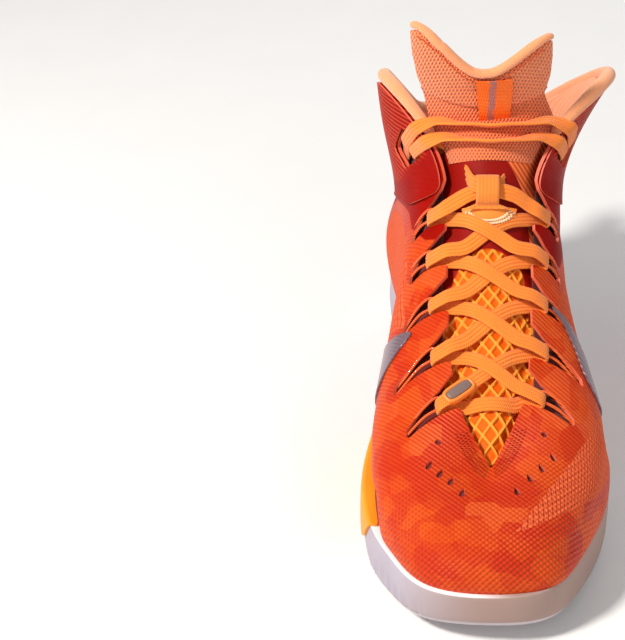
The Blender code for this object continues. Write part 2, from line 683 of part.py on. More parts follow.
def strand(lace, side):
    """From the bottom bar up through the five loops, under the keeper and across the top.

    A run that starts on the outer side always crosses over one that starts on the inner side.
    """
    for index, station in enumerate(LOOP_STATIONS):
        heights = UPPER_HEIGHTS if side > 0 else LOWER_HEIGHTS
        tagged = index == 0 and side < 0
        lace.through_loop(side, station, TAG_LIFT if tagged else 0.0)
        if index < 4:
            lace.cross(side, station, LOOP_STATIONS[index + 1], TAGGED_HEIGHTS if tagged else heights)
            side = -side
    upper = side > 0
    run = TOP_RUNS[0] if upper else TOP_RUNS[1]
    over = 4.4 if upper else 1.9
    lace.sweep([(6.84, side * 0.92, 6.0), (6.98, side * 0.6, over + 0.8), (7.03, side * 0.3, over),
                (7.08, 0.0, over), (7.13, -side * 0.3, over), (7.36, -side * 0.68, 2.2),
                (run - 0.12, -side * 0.93, 2.5)])
    side = -side
    for v, depth in ((4.95, 2.9), (4.72, 2.8), (4.55, 2.8), (4.42, 0.8),
                     (4.55, -1.4), (4.78, -2.0), (5.0, -2.4)):
        lace.on_skin(side, run, v, depth)
    lace.sweep([(run, side * 0.8, 4.0), (run, side * 0.5, 2.4), (run, 0.0, 2.0), (run, -side * 0.5, 2.4),
                (run, -side * 0.8, 4.0)])
    side = -side
    for v, depth in ((5.0, -2.4), (4.78, -2.0), (4.55, -1.4), (4.40, 0.6),
                     (4.2, 3.2), (3.9, 3.3), (3.6, 3.3)):
        lace.on_skin(side, run, v, depth)
    return side, run


def build_lace():
    halves = []
    tails = []
    for side in (1, -1):
        lace = Lace()
        for g, height in ((0.0, 1.7), (0.4, 1.7), (0.8, 1.8)):
            lace.on_tongue(BAR_STATION, side * g, height)
        lace.on_skin(side, BAR_STATION + 0.02, 4.96, 3.4)
        end_side, run = strand(lace, side)
        halves.append(lace)
        tails.append((end_side, run))
    first, second = halves
    second.straighten(TAG_INDEX, TAG_INDEX + 3)
    points = second.points[:0:-1] + first.points
    across = second.across[:0:-1] + first.across
    ribbon("lace", points, np.array(across), LACE_WIDTH, LACE_THICK, LACE_WEAVE)
    for (side, run), name in zip(tails, ("a", "b")):
        ends = [skin(side_u(side, run), v, 3.3) for v in (3.55, 3.4, 3.25, 3.1)]
        tube("aglet_" + name, ends, 2.4, AGLET, 2)
    return second


def block(name, size, frame, mat, collection, bevel):
    """A block of size mm placed in frame, its edges rounded by bevel."""
    bm = bmesh.new()
    bmesh.ops.create_cube(bm, size=1.0)
    bmesh.ops.scale(bm, vec=Vector(size) * 0.001, verts=bm.verts)
    mesh = bpy.data.meshes.new(name)
    bm.to_mesh(mesh)
    bm.free()
    obj = add_object(name, mesh, mat, collection)
    obj.matrix_world = frame
    if bevel:
        rounded = obj.modifiers.new("rounded", 'BEVEL')
        rounded.width = bevel * 0.001
        rounded.segments = 2
    return obj


def build_lace_tag(lace):
    """Slim sleeve that slides on the lowest inner lace run, with a plain inlay on its face."""
    index = TAG_INDEX
    start, end = lace.points[index], lace.points[index + 2]
    ahead = Vector(end - start).normalized()
    wide = Vector(lace.across[index + 1])
    wide = (wide - ahead * wide.dot(ahead)).normalized()
    out = ahead.cross(wide)
    if out.z < 0:
        wide, out = -wide, -out
    centre = Vector(metres(lace.points[index + 1] * 0.5 + (start + end) * 0.25))
    frame = Matrix((ahead, wide, out)).transposed().to_4x4()
    frame.translation = centre + ahead * TAG_OFFSET * 0.001
    centre = frame.translation.copy()
    tag = block("lace_tag", TAG_SIZE, frame, TAG, SHOE, 1.2)
    cutter = block("lace_tunnel", (TAG_SIZE[0] * 2, *TAG_TUNNEL), frame, None, CUTTERS, 0.0)
    cutter.hide_render = True
    cutter.display_type = 'WIRE'
    cut = tag.modifiers.new("tunnel", 'BOOLEAN')
    cut.operation = 'DIFFERENCE'
    cut.object = cutter
    inlay_frame = frame.copy()
    inlay_frame.translation = centre + out * (TAG_SIZE[2] / 2 + 0.75) * 0.001
    block("lace_tag_inlay", (9.0, 4.0, 0.7), inlay_frame, INLAY, SHOE, 0.2)


def build_pull_tab():
    """Webbing loop that stands up behind the collar's back edge."""
    base = skin(12.0, 4.55, -2.0)
    loop = [(0.0, -4.0), (0.2, 3.0), (0.6, 9.0), (2.6, 14.0), (5.6, 15.5), (8.4, 13.0), (8.4, 7.0),
            (5.6, 0.5), (2.8, -5.0)]
    points = through([base + np.array([0.0, y, z]) for y, z in loop], 15)
    ribbon("pull_tab", points, np.tile([1.0, 0, 0], (len(points), 1)), 13.0, 1.4, WEBBING)


# ---------------------------------------------------------------- assembly

for old in list(bpy.data.objects):
    bpy.data.objects.remove(old, do_unlink=True)

SHOE = new_collection("basketball_high_top")
CUTTERS = new_collection("cutters")

VAMP = material("red_orange_shell", (0.78, 0.10, 0.02), 0.45)
QUARTER = material("deep_red_shell", (0.60, 0.04, 0.01), 0.5)
EYESTAY = material("eyestay_film", (0.80, 0.10, 0.03), 0.4)
HEEL = material("heel_shell", (0.55, 0.03, 0.01), 0.5)
COUNTER = material("heel_clip", (0.70, 0.08, 0.02), 0.4)
LATTICE = material("lattice_foam", (0.95, 0.35, 0.03), 0.6)
TONGUE_MESH = material("tongue_mesh", (0.92, 0.25, 0.05), 0.8)
STRIPE = material("tongue_stripe", (0.95, 0.22, 0.02), 0.7)
RIM = material("peach_piping", (0.98, 0.48, 0.20), 0.8)
LINING = material("peach_lining", (0.90, 0.30, 0.10), 0.85)
PADDING = material("padding", (0.90, 0.45, 0.20), 0.9)
STIFFENER = material("stiffener", (0.80, 0.78, 0.72), 0.6)
KEEPER = material("keeper_webbing", (0.95, 0.32, 0.05), 0.75)
LACE_WEAVE = material("lace_weave", (0.98, 0.30, 0.03), 0.8)
AGLET = material("aglet_plastic", (0.95, 0.35, 0.08), 0.3)
CABLE = material("cable_red", (0.70, 0.05, 0.02), 0.5)
FLASH = material("silver_flash", (0.55, 0.55, 0.60), 0.3, 0.6)
TAG = material("lace_tag", (0.95, 0.30, 0.05), 0.5)
INLAY = material("grey_inlay", (0.42, 0.36, 0.36), 0.4)
WEBBING = material("pull_webbing", (0.85, 0.12, 0.03), 0.8)
CARRIER = material("white_midsole", (0.86, 0.86, 0.90), 0.5)
FOAM = material("foam_core", (0.98, 0.38, 0.02), 0.6)
RUBBER = material("outsole_rubber", (0.62, 0.60, 0.62), 0.6)
BOARD = material("strobel_board", (0.75, 0.72, 0.65), 0.9)
SOCKLINER = material("sockliner", (0.85, 0.25, 0.06), 0.9)
SHANK = material("shank_plate", (0.10, 0.10, 0.11), 0.4)

build_outsole()
build_carrier()
build_foam_core()
build_footbed()
build_shells()
build_inside()
build_outside()
build_collar_rim()
build_tongue()
build_keeper()
build_cables()
build_lace_tag(build_lace())
build_pull_tab()
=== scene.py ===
"""Looks of the basketball high top: a left shoe, laced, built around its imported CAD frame.

Helpers work in millimetres in the last's own frame; metres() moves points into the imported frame.
The upper is one B-spline surface: station u runs 0 (toe), 12 (heel), 24; row v runs from the lasting
margin (0) over the feather line (1) to the throat and collar edge (5). Signed stations are negative
on the inner side of the foot.
"""

import math
from functools import reduce

import bmesh
import bpy
import numpy as np
from mathutils import Matrix, Vector
from mathutils.geometry import delaunay_2d_cdt


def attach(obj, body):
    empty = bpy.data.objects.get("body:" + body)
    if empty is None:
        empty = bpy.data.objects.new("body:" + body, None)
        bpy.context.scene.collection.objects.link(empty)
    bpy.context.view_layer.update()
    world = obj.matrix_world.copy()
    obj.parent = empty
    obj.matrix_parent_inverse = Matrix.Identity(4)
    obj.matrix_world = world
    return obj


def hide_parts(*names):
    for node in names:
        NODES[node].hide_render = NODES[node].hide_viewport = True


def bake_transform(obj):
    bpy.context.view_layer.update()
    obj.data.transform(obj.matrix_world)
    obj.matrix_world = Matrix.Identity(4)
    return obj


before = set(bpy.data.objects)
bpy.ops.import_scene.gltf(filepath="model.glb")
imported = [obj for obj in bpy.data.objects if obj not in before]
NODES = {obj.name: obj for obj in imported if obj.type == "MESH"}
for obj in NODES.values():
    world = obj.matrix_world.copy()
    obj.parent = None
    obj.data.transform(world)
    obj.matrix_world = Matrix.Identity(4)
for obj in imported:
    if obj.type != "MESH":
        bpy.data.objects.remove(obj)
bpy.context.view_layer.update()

# ---------------------------------------------------------------- dimensions, in millimetres
ORIGIN_SHIFT = np.array([-1.6, 1.0, 0.0])
SHELL = 1.6                  # thickness of the fused upper
LINING_FRONT = 5.0           # depth of the lining below the skin, at the front and at the collar
LINING_COLLAR = 9.2
TONGUE_THICK = 3.2
LACE_WIDTH = 6.8
LACE_THICK = 1.5
RIM_RADIUS = 3.2
TOE_SPRING = 11.0
HEEL_SPRING = 3.0
TAG_LIFT = 1.2               # the tagged lace run lies this much higher
STATION_MM, ROW_MM = 28.0, 22.0      # rough size of one station and one row of the upper

# ---------------------------------------------------------------- places, in stations and rows
LOOP_STATIONS = (3.5, 4.3, 5.15, 5.95, 6.64)      # cable loops, from the toe upwards
TOP_RUNS = (7.94, 8.15)      # the two lace runs across the tongue's top
BAR_STATION = 3.42           # the lowest lace run
FINGER_TOP = 4.9             # row where the throat's fingers end
UPPER_STEP = 0.05            # grid of the fused upper
SIDES = ((1, "lateral"), (-1, "medial"))

CAGE = [
    [(0, -141, 22), (0, -146, 27), (0, -148, 37), (0, -142, 48), (0, -125, 55), (0, -103, 57)],
    [(19, -136, 22), (23, -141, 27), (24, -142, 37), (22, -136, 48), (13, -121, 56), (1.5, -101, 58)],
    [(31, -119, 21.5), (36.5, -122, 26.5), (38.5, -124, 37), (36, -119, 48), (23, -109, 58), (4, -96, 60)],
    [(41, -94, 21), (47, -96, 26), (49.5, -96, 37), (46, -94, 51), (30, -90, 63), (9, -85, 66)],
    [(44, -62, 20.5), (50.5, -62, 25.5), (53, -62, 38), (49, -61, 57), (34, -60, 72), (15, -62, 78)],
    [(40, -28, 21), (46.5, -28, 26), (50, -28, 42), (47, -29, 66), (35, -32, 85), (17.5, -38, 93)],
    [(35, 6, 23), (41.5, 6, 28), (46, 6, 48), (44, 4, 76), (36, -4, 98), (18, -15, 109)],
    [(33, 36, 26), (39, 36, 31), (44, 36, 54), (41, 33, 86), (34, 22, 115), (20, 6, 128)],
    [(32.5, 62, 28.5), (38.5, 62, 33.5), (44, 62, 60), (39, 60, 92), (39, 46, 124), (27, 26, 149)],
    [(32, 86, 30.5), (38, 86, 35.5), (44, 87, 62), (37.5, 84, 94), (45, 72, 130), (46, 55, 166)],
    [(30, 107, 32), (36, 109, 37), (42, 111, 62), (34, 108, 92), (38, 102, 120), (42, 90, 146)],
    [(21, 126, 33), (26, 131, 38), (31, 134, 62), (24.5, 128, 90), (26, 124, 110), (30, 117, 127)],
    [(0, 137, 33.5), (0, 143, 38.5), (0, 147, 62), (0, 140, 90), (0, 136, 107), (0, 138, 121)],
]


# ---------------------------------------------------------------- the last's surface

def smooth(start, end, value):
    t = np.clip((value - start) / (end - start), 0, 1)
    return t * t * (3 - 2 * t)


def unit(vectors):
    return vectors / (np.linalg.norm(vectors, axis=-1, keepdims=True) + 1e-12)


def foot_warp(points):
    """Bend the symmetric cage into a left foot: swung forefoot, hollow arch, flared outer collar."""
    p = np.array(points, float)
    x, y, z = p[..., 0], p[..., 1], p[..., 2]
    forefoot = smooth(0, -90, y)
    toe = smooth(-90, -150, y)
    arch = np.exp(-((y - 25) / 42) ** 2) * smooth(95, 30, z)
    waist = np.exp(-(y / 50) ** 2) * smooth(120, 90, z)
    flare = smooth(135, 168, z)
    inner = x * (1 - 0.10 * arch) - 4 * flare
    outer = x * (1 - 0.13 * waist) + 12 * flare
    new_x = np.where(x < 0, inner, outer)
    new_x = new_x - 3.0 * toe + 1.5 * np.exp(-((y + 20) / 60) ** 2)
    new_x = new_x - 4.0 * smooth(20, 90, y) * smooth(150, 110, z)
    new_y = y + 0.15 * x * forefoot * (1 - toe)
    return np.stack([new_x, new_y, z], -1)


def control_net():
    """B-spline control points whose surface passes through every cage point."""
    outer = np.array(CAGE, float)
    inner = outer[1:-1][::-1] * np.array([-1, 1, 1])
    ring = foot_warp(np.concatenate([outer, inner]))
    n = len(ring)
    around = (4 * np.eye(n) + np.roll(np.eye(n), 1, 0) + np.roll(np.eye(n), -1, 0)) / 6
    net = np.linalg.solve(around, ring.reshape(n, -1)).reshape(ring.shape)
    rows = net.shape[1]
    up = np.eye(rows) * 4
    for i in range(1, rows - 1):
        up[i, i - 1] = up[i, i + 1] = 1
    up[0, 0] = up[-1, -1] = 6
    net = np.einsum('ij,njk->nik', np.linalg.inv(up / 6), net)
    first = 2 * net[:, :1] - net[:, 1:2]
    last = 2 * net[:, -1:] - net[:, -2:-1]
    return np.concatenate([first, net, last], 1)


NET = control_net()
STATIONS = NET.shape[0]


def basis(t):
    return np.stack([(1 - t) ** 3, 3 * t ** 3 - 6 * t ** 2 + 4,
                     -3 * t ** 3 + 3 * t ** 2 + 3 * t + 1, t ** 3], -1) / 6


def slopes(t):
    return np.stack([-3 * (1 - t) ** 2, 9 * t ** 2 - 12 * t, -9 * t ** 2 + 6 * t + 3, 3 * t ** 2], -1) / 6


def skin(u, v, depth=0.0):
    """Point of the upper at station u and row v, moved inwards by depth; signed stations work too."""
    u, v, depth = [np.asarray(a, float) for a in np.broadcast_arrays(u, v, depth)]
    iu = np.floor(u).astype(int)
    iv = np.clip(np.floor(v).astype(int), 0, NET.shape[1] - 4)
    columns = (iu[..., None] + np.arange(-1, 3)) % STATIONS
    rows = iv[..., None] + np.arange(0, 4)
    patch = NET[columns[..., :, None], rows[..., None, :]]

    def blend(a, b):
        return np.einsum('...i,...j,...ijk->...k', a, b, patch)

    across, along = blend(slopes(u - iu), basis(v - iv)), blend(basis(u - iu), slopes(v - iv))
    return blend(basis(u - iu), basis(v - iv)) - unit(np.cross(across, along)) * depth[..., None]


def signed(u):
    """Stations 0 to 24 as signed ones, negative on the inner side."""
    return np.where(u > STATIONS / 2, u - STATIONS, u)


def mirrored(points, side):
    """An outline of the outer side, for the outer (1) or the inner (-1) side."""
    return [(side * u, v) for u, v in points]


def metres(points):
    return (np.asarray(points, float) + ORIGIN_SHIFT) * 0.001


def spline(points, at):
    """Smooth curve through points, taken where at counts in points."""
    ends = np.concatenate([2 * points[:1] - points[1:2], points, 2 * points[-1:] - points[-2:-1]])
    at = np.clip(at, 0, len(points) - 1 - 1e-9)
    i = at.astype(int)
    f = (at - i).reshape(at.shape + (1,) * (points.ndim - 1))
    a, b, c, d = ends[i], ends[i + 1], ends[i + 2], ends[i + 3]
    square, cube = 2 * a - 5 * b + 4 * c - d, 3 * b - a - 3 * c + d
    return 0.5 * (2 * b + (c - a) * f + square * f ** 2 + cube * f ** 3)


def through(points, count):
    """count points of a smooth curve through the given ones."""
    return spline(np.asarray(points, float), np.linspace(0, len(points) - 1, count))


def even(points, step):
    """The same line with points an even step apart."""
    p = np.asarray(points, float)
    run = run_along(p[:, :3])
    at = np.linspace(0, run[-1], max(2, int(round(run[-1] / step)) + 1))
    return np.stack([np.interp(at, run, p[:, k]) for k in range(p.shape[1])], 1)


def run_along(line):
    """Length of the line up to each of its points."""
    return np.concatenate([[0], np.cumsum(np.linalg.norm(np.diff(line, axis=0), axis=1))])


# ---------------------------------------------------------------- materials

def srgb(r, g, b):
    """Display colour 0-255 to the linear colour that shaders take."""
    c = np.array([r, g, b]) / 255
    return tuple(np.where(c <= 0.04045, c / 12.92, ((c + 0.055) / 1.055) ** 2.4)) + (1.0,)


class Paint:
    """A procedural material; positions and sizes are in millimetres."""

    def __init__(self, name, roughness=0.6, **inputs):
        self.mat = bpy.data.materials.new(name)
        self.mat.use_nodes = True
        self.tree = self.mat.node_tree
        self.shader = self.tree.nodes["Principled BSDF"]
        self.normal = None
        self.put("Roughness", roughness)
        for key, value in inputs.items():
            self.put(key.replace("_", " "), value)
        metres_here = self.node("TexCoord", {})["Object"]
        self.place = self.node("VectorMath", {0: metres_here, "Scale": 1000.0}, operation='SCALE')["Vector"]

    def feed(self, socket, value):
        if isinstance(value, bpy.types.NodeSocket):
            self.tree.links.new(value, socket)
        else:
            socket.default_value = value

    def put(self, key, value):
        self.feed(self.shader.inputs[key], value)

    def node(self, kind, inputs, **settings):
        """Outputs of a new node; its inputs are sockets or values by name or number."""
        node = self.tree.nodes.new("ShaderNode" + kind)
        for key, value in settings.items():
            setattr(node, key, value)
        for key, value in inputs.items():
            self.feed(node.inputs[key], value)
        return node.outputs

    def stretched(self, factors):
        return self.node("VectorMath", {0: self.place, 1: factors}, operation='MULTIPLY')["Vector"]

    def along(self, way, place=None):
        """Distance along a direction, times its length."""
        return self.node("VectorMath", {0: place or self.place, 1: way}, operation='DOT_PRODUCT')["Value"]

    def math(self, op, a, b=0.0):
        return self.node("Math", {0: a, 1: b}, operation=op)[0]

    def times(self, a, b):
        return self.math('MULTIPLY', a, b)

    def plus(self, a, b):
        return self.math('ADD', a, b)

    def wave(self, direction, pitch, place=None):
        """Sine between -1 and 1 along a direction, one period per pitch."""
        way = np.array(direction, float)
        way *= 2 * math.pi / pitch / np.linalg.norm(way)
        return self.math('SINE', self.along(tuple(way), place))

    def step(self, value, low, high):
        inputs = {"Value": value, "From Min": low, "From Max": high}
        return self.node("MapRange", inputs, interpolation_type='SMOOTHSTEP')["Result"]

    def noise(self, size, detail=2.0, place=None):
        inputs = {"Vector": place or self.place, "Scale": 1.0 / size, "Detail": detail}
        return self.node("TexNoise", inputs)["Fac"]

    def cells(self, size, stretch, metric):
        """One random value per Voronoi cell."""
        inputs = {"Vector": self.stretched(stretch), "Scale": 1.0 / size}
        return self.node("SeparateColor", {0: self.node("TexVoronoi", inputs, distance=metric)["Color"]})[0]

    def mix(self, factor, a, b):
        return self.node("Mix", {0: factor, 6: a, 7: b}, data_type='RGBA')[2]

    def over(self, base, colour, mask, strength):
        """Lay a colour over the base where the mask is 1, at the given strength."""
        return self.mix(self.times(mask, strength), base, colour)

    def value(self, name):
        return self.node("Attribute", {}, attribute_name=name)["Fac"]

    def uv(self):
        return self.node("UVMap", {})["UV"]

    def bump(self, height, size):
        """Raise the surface by height (0-1) times size; calls stack."""
        below = {"Normal": self.normal} if self.normal else {}
        self.normal = self.node("Bump", {"Distance": size * 0.001, "Height": height, **below})["Normal"]
        self.put("Normal", self.normal)

    def colour(self, value):
        self.put("Base Color", value)
        return self.mat


VAMP_RED = srgb(200, 46, 0)
VAMP_LIGHT = srgb(228, 88, 14)
SALMON = srgb(236, 104, 56)
DEEP_RED = srgb(166, 12, 0)
DARK_RED = srgb(92, 4, 2)
PEACH = srgb(252, 172, 112)
RIDGE_WAY, RIDGE_PITCH = (0.62, 0.62, 0.48), 1.7      # fine ridges of the film and the flashes


def film_base(p, shard, tone, relief):
    """Red-orange film: tone shards, slow drift and painted shade darkening the valleys between the ridges."""
    base = p.mix(p.step(tone, 0.05, 0.95), VAMP_RED, VAMP_LIGHT)
    base = p.over(base, SALMON, p.step(shard, 0.80, 0.82), 0.25)
    base = p.over(base, srgb(206, 44, 0), p.noise(40.0), 0.35)
    # Painted shade in the valleys between the fine ridges.
    return p.over(base, srgb(150, 18, 2), p.step(relief, 0.5, -1.4), 0.34)


def film_dimples(p):
    """Mask of the staggered dimples in a few rows beside the throat's toe end."""
    row, run = p.value("row"), p.value("run")
    grid = p.times(p.math('SINE', p.times(run, 2.4)), p.math('SINE', p.times(row, 2.4)))
    beside = p.times(p.step(row, 1.2, 1.6), p.step(row, 6.6, 6.2))
    beside = p.times(beside, p.times(p.step(run, 12.0, 14.0), p.step(run, 88.0, 86.0)))
    return p.times(p.step(grid, 0.35, 0.65), beside)


def film_window(p):
    """Open salmon mesh of the side windows."""
    rows = p.wave((0.5, 0.3, -0.8), 1.6)
    holes = p.step(p.times(rows, p.wave((0.8, 0.2, 0.55), 1.6)), 0.25, 0.55)
    tone = p.mix(p.step(rows, -0.2, -0.85), SALMON, srgb(200, 62, 30))
    return p.over(tone, srgb(164, 34, 14), holes, 0.6)


def film_paint():
    """Fused film over mesh, whose attributes say where its dimples, open mesh and red rear are."""
    p = Paint("shell_film", 0.42)
    shard = p.cells(15.0, (1.0, 0.7, 1.0), 'MANHATTAN')
    small_shard = p.cells(9.0, (0.7, 1.0, 1.3), 'CHEBYCHEV')
    tone = p.plus(p.times(shard, 0.6), p.times(small_shard, 0.4))
    cross = p.times(p.wave((-0.62, 0.62, 0.48), RIDGE_PITCH), p.value("toe"))
    relief = p.plus(p.wave(RIDGE_WAY, RIDGE_PITCH), cross)
    dots = film_dimples(p)
    base = p.over(film_base(p, shard, tone, relief), srgb(120, 10, 2), dots, 0.9)
    mesh = p.step(p.value("mesh"), -0.3, 0.3)
    base = p.mix(mesh, base, film_window(p))
    red = p.step(p.value("red"), -0.5, 0.5)
    lines = p.times(p.step(p.wave((0, 0, 1), 2.3), 0.1, 0.9), p.step(p.value("lines"), -2.0, 3.0))
    red_tone = p.over(p.mix(p.noise(12.0), DEEP_RED, srgb(134, 6, 0)), srgb(226, 84, 42), lines, 0.62)
    p.put("Roughness", p.plus(0.42, p.plus(p.times(mesh, 0.28), p.times(tone, 0.12))))
    p.put("Specular IOR Level", p.math('SUBTRACT', 0.20, p.times(red, 0.15)))
    p.bump(p.times(relief, p.math('SUBTRACT', 1.0, p.times(red, 0.75))), 0.16)
    p.bump(p.times(lines, red), 0.15)
    p.bump(p.times(dots, -1.0), 0.4)
    p.bump(p.noise(0.8, 3.0), 0.05)
    return p.colour(p.mix(red, base, red_tone))


def cross_weave(p, pitch):
    """Two crossing thread waves."""
    return p.times(p.wave((0.7, 0.7, 0.15), pitch), p.wave((-0.6, 0.35, 0.72), pitch))


def fabric_paint(name, light, dark, pitch, depth, roughness=0.85, sheen=0.3):
    """Plain-woven or knitted cloth with slow colour drift."""
    p = Paint(name, roughness, Sheen_Weight=sheen, Sheen_Roughness=0.6)
    weave = cross_weave(p, pitch)
    tone = p.plus(p.times(p.step(weave, -1.0, 1.0), 0.55), p.times(p.noise(9.0, 3.0), 0.45))
    p.bump(weave, depth)
    p.bump(p.noise(0.6, 3.0), depth * 0.7)
    return p.colour(p.mix(tone, dark, light))


def hole_mesh_paint(name, light, dark, hole):
    """Knitted mesh with a staggered grid of holes."""
    pitch = 1.4
    p = Paint(name, 0.8, Sheen_Weight=0.35, Sheen_Roughness=0.5)
    knit = p.plus(p.wave((0.866, 0.225, 0.45), pitch), p.wave((-0.866, 0.225, 0.45), pitch))
    tone = p.mix(p.noise(16.0, 2.0), dark, light)
    tone = p.mix(p.step(knit, 0.2, -1.6), tone, light)
    p.bump(p.times(knit, -1.0), 0.22)
    p.bump(p.noise(0.7, 2.0), 0.06)
    return p.colour(p.over(tone, hole, p.step(knit, 0.75, 1.45), 0.85))


def moulded_paint(name, light, dark, grain, depth, roughness):
    """Moulded foam, rubber or plastic: fine grain, slow tone drift and faint scuffs."""
    p = Paint(name)
    tone = p.mix(p.noise(22.0, 3.0), light, dark)
    scuffed = tuple(c * 0.6 for c in dark[:3]) + (1.0,)
    tone = p.over(tone, scuffed, p.step(p.noise(3.5, 6.0), 0.62, 0.78), 0.10)
    p.put("Roughness", p.plus(roughness - 0.08, p.times(p.noise(2.5, 4.0), 0.2)))
    p.bump(p.noise(grain, 3.0), depth)
    return p.colour(tone)


def webbing_paint(name, light, dark, rib=1.1):
    """Flat woven band: lengthwise ribs and short cross picks, in the band's own lengthwise UV."""
    p = Paint(name, 0.75, Sheen_Weight=0.3, Sheen_Roughness=0.5)
    uv = p.uv()
    ribs = p.wave((0, 1, 0), rib, uv)
    chevron = p.times(p.wave((1, 0, 0), 0.95, uv), ribs)
    tone = p.plus(p.times(p.step(chevron, -1.0, 1.0), 0.4), p.times(p.noise(7.0), 0.3))
    tone = p.plus(tone, p.times(p.step(ribs, -0.9, 0.1), 0.3))
    p.bump(chevron, 0.10)
    p.bump(p.noise(0.5, 3.0), 0.06)
    return p.colour(p.mix(tone, dark, light))


def thread_paint(name, light, dark):
    return moulded_paint(name, light, dark, grain=0.4, depth=0.03, roughness=0.7)


# ---------------------------------------------------------------- mesh helpers

def declare(piece, body, slot, *nodes):
    """Say which body a piece moves with and which CAD nodes it stands for; slot, where its finish comes from,
    is not used.
    """
    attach(piece, body)
    if nodes:
        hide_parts(*nodes)


def add_mesh(name, points, faces, materials, values=None, uv=None):
    """A mesh piece; values are float attributes per point and uv one pair per point."""
    mesh = bpy.data.meshes.new(name)
    mesh.from_pydata(metres(points).tolist(), [], [tuple(int(i) for i in f) for f in faces])
    mesh.validate()
    for key, data in (values or {}).items():
        layer = mesh.attributes.new(key, 'FLOAT', 'POINT')
        layer.data.foreach_set("value", np.asarray(data, np.float32).ravel())
    if uv is not None:
        layer = mesh.uv_layers.new(name="UVMap")
        index = np.zeros(len(mesh.loops), int)
        mesh.loops.foreach_get("vertex_index", index)
        layer.data.foreach_set("uv", np.asarray(uv, np.float32)[index].ravel())
    for mat in materials if isinstance(materials, (list, tuple)) else [materials]:
        mesh.materials.append(mat)
    obj = bpy.data.objects.new(name, mesh)
    bpy.context.scene.collection.objects.link(obj)
    mesh.shade_smooth()
    return obj


def grid_faces(count_a, count_b, closed_a=False, closed_b=False):
    a = np.arange(count_a if closed_a else count_a - 1)
    b = np.arange(count_b if closed_b else count_b - 1)
    i, j = [m.ravel() for m in np.meshgrid(a, b, indexing='ij')]
    i2, j2 = (i + 1) % count_a, (j + 1) % count_b
    return np.stack([i * count_b + j, i2 * count_b + j, i2 * count_b + j2, i * count_b + j2], 1).tolist()


def orient(obj):
    """Make a closed piece's faces point outwards."""
    bm = bmesh.new()
    bm.from_mesh(obj.data)
    bmesh.ops.recalc_face_normals(bm, faces=bm.faces)
    bm.to_mesh(obj.data)
    bm.free()
    return obj


def loft(name, rings, mat, uv=None):
    """A closed piece through rings of equal length, with one face over each end."""
    count = len(rings[0])
    last = (len(rings) - 1) * count
    caps = [list(range(count)), list(range(last, last + count))[::-1]]
    faces = grid_faces(len(rings), count, closed_b=True) + caps
    return orient(add_mesh(name, np.concatenate(rings), faces, mat, uv=uv))


def across_ring(count, start):
    """Faces over a long ring of points, rung by rung, from its front end to its back end."""
    half = count // 2
    rungs = [(0, 1, count - 1)] + [(i, i + 1, count - i - 1, count - i) for i in range(1, half - 1)]
    return [tuple(start + i for i in rung) for rung in rungs + [(half - 1, half, half + 1)]]


def apply_modifiers(obj):
    bpy.context.view_layer.update()
    graph = bpy.context.evaluated_depsgraph_get()
    mesh = bpy.data.meshes.new_from_object(obj.evaluated_get(graph), depsgraph=graph)
    old = obj.data
    obj.modifiers.clear()
    obj.data = mesh
    bpy.data.meshes.remove(old)


def crisp_edges(obj):
    obj.data.set_sharp_from_angle(angle=math.radians(50))


def thicken(obj, thickness, rim):
    """Give a sheet its thickness, with its cut edge in material slot rim, and keep its edges crisp."""
    solid = obj.modifiers.new("thickness", 'SOLIDIFY')
    solid.thickness = thickness * 0.001
    solid.offset = -1.0
    solid.material_offset_rim = rim
    apply_modifiers(obj)
    crisp_edges(obj)
    return obj


def sheet(name, grid, mat, thickness, values=None):
    """A grid of points as a sheet, its front face first, thickened backwards."""
    obj = add_mesh(name, grid.reshape(-1, 3), grid_faces(*grid.shape[:2]), mat, values)
    return thicken(obj, thickness, 0)


def tube(name, points, radius, mat, sides=10, radii=None):
    """A closed tube along points, with rounded ends; radii scales it along its length."""
    p = np.asarray(points, float)
    ahead = unit(np.gradient(p, axis=0))
    wide = np.cross(ahead[0], [0.31, 0.17, 0.93])
    scale = radius * (np.ones(len(p)) if radii is None else radii)
    turn = np.linspace(0, 2 * math.pi, sides, endpoint=False)
    circles = []
    for way in ahead:
        wide = unit(wide - way * wide.dot(way))
        circles.append(np.outer(np.cos(turn), wide) + np.outer(np.sin(turn), np.cross(way, wide)))
    rings = []
    last = len(p) - 1
    start, end = [(0, 0.35), (0, 0.75)], [(last, 0.75), (last, 0.35)]
    for i, share in start + [(i, 1.0) for i in range(last + 1)] + end:
        beyond = math.sqrt(1 - share ** 2) * scale[i] * (1 if i else -1)
        rings.append(p[i] + ahead[i] * beyond + scale[i] * share * circles[i])
    return loft(name, rings, mat)


def band(name, line, across, width, thick, mat, ribs=0, widths=1.0):
    """A flat woven band along a line, with rounded edges, lengthwise ribs and its own UV in millimetres."""
    p = np.asarray(line, float)
    tangent = unit(np.gradient(p, axis=0))
    wide = unit(across - tangent * np.sum(across * tangent, 1, keepdims=True))
    out = np.cross(tangent, wide)
    face = np.linspace(-1, 1, 25)
    t = np.concatenate([face, face[-2:0:-1]])
    upward = np.concatenate([np.ones(25), -np.ones(23)])
    rib = 0.15 * np.cos(t * math.pi * ribs) * (1 - t ** 4) if ribs else 0
    height = upward * ((1 - np.abs(t) ** 6) ** 0.5 * 0.5 * thick + rib)
    half = width / 2 * np.broadcast_to(widths, len(p))
    rings = p[:, None] + wide[:, None] * (t * half[:, None])[..., None] + out[:, None] * height[None, :, None]
    uv = np.stack(np.broadcast_arrays(run_along(p)[:, None], t * width / 2), -1)
    return loft(name, rings, mat, uv.reshape(-1, 2))


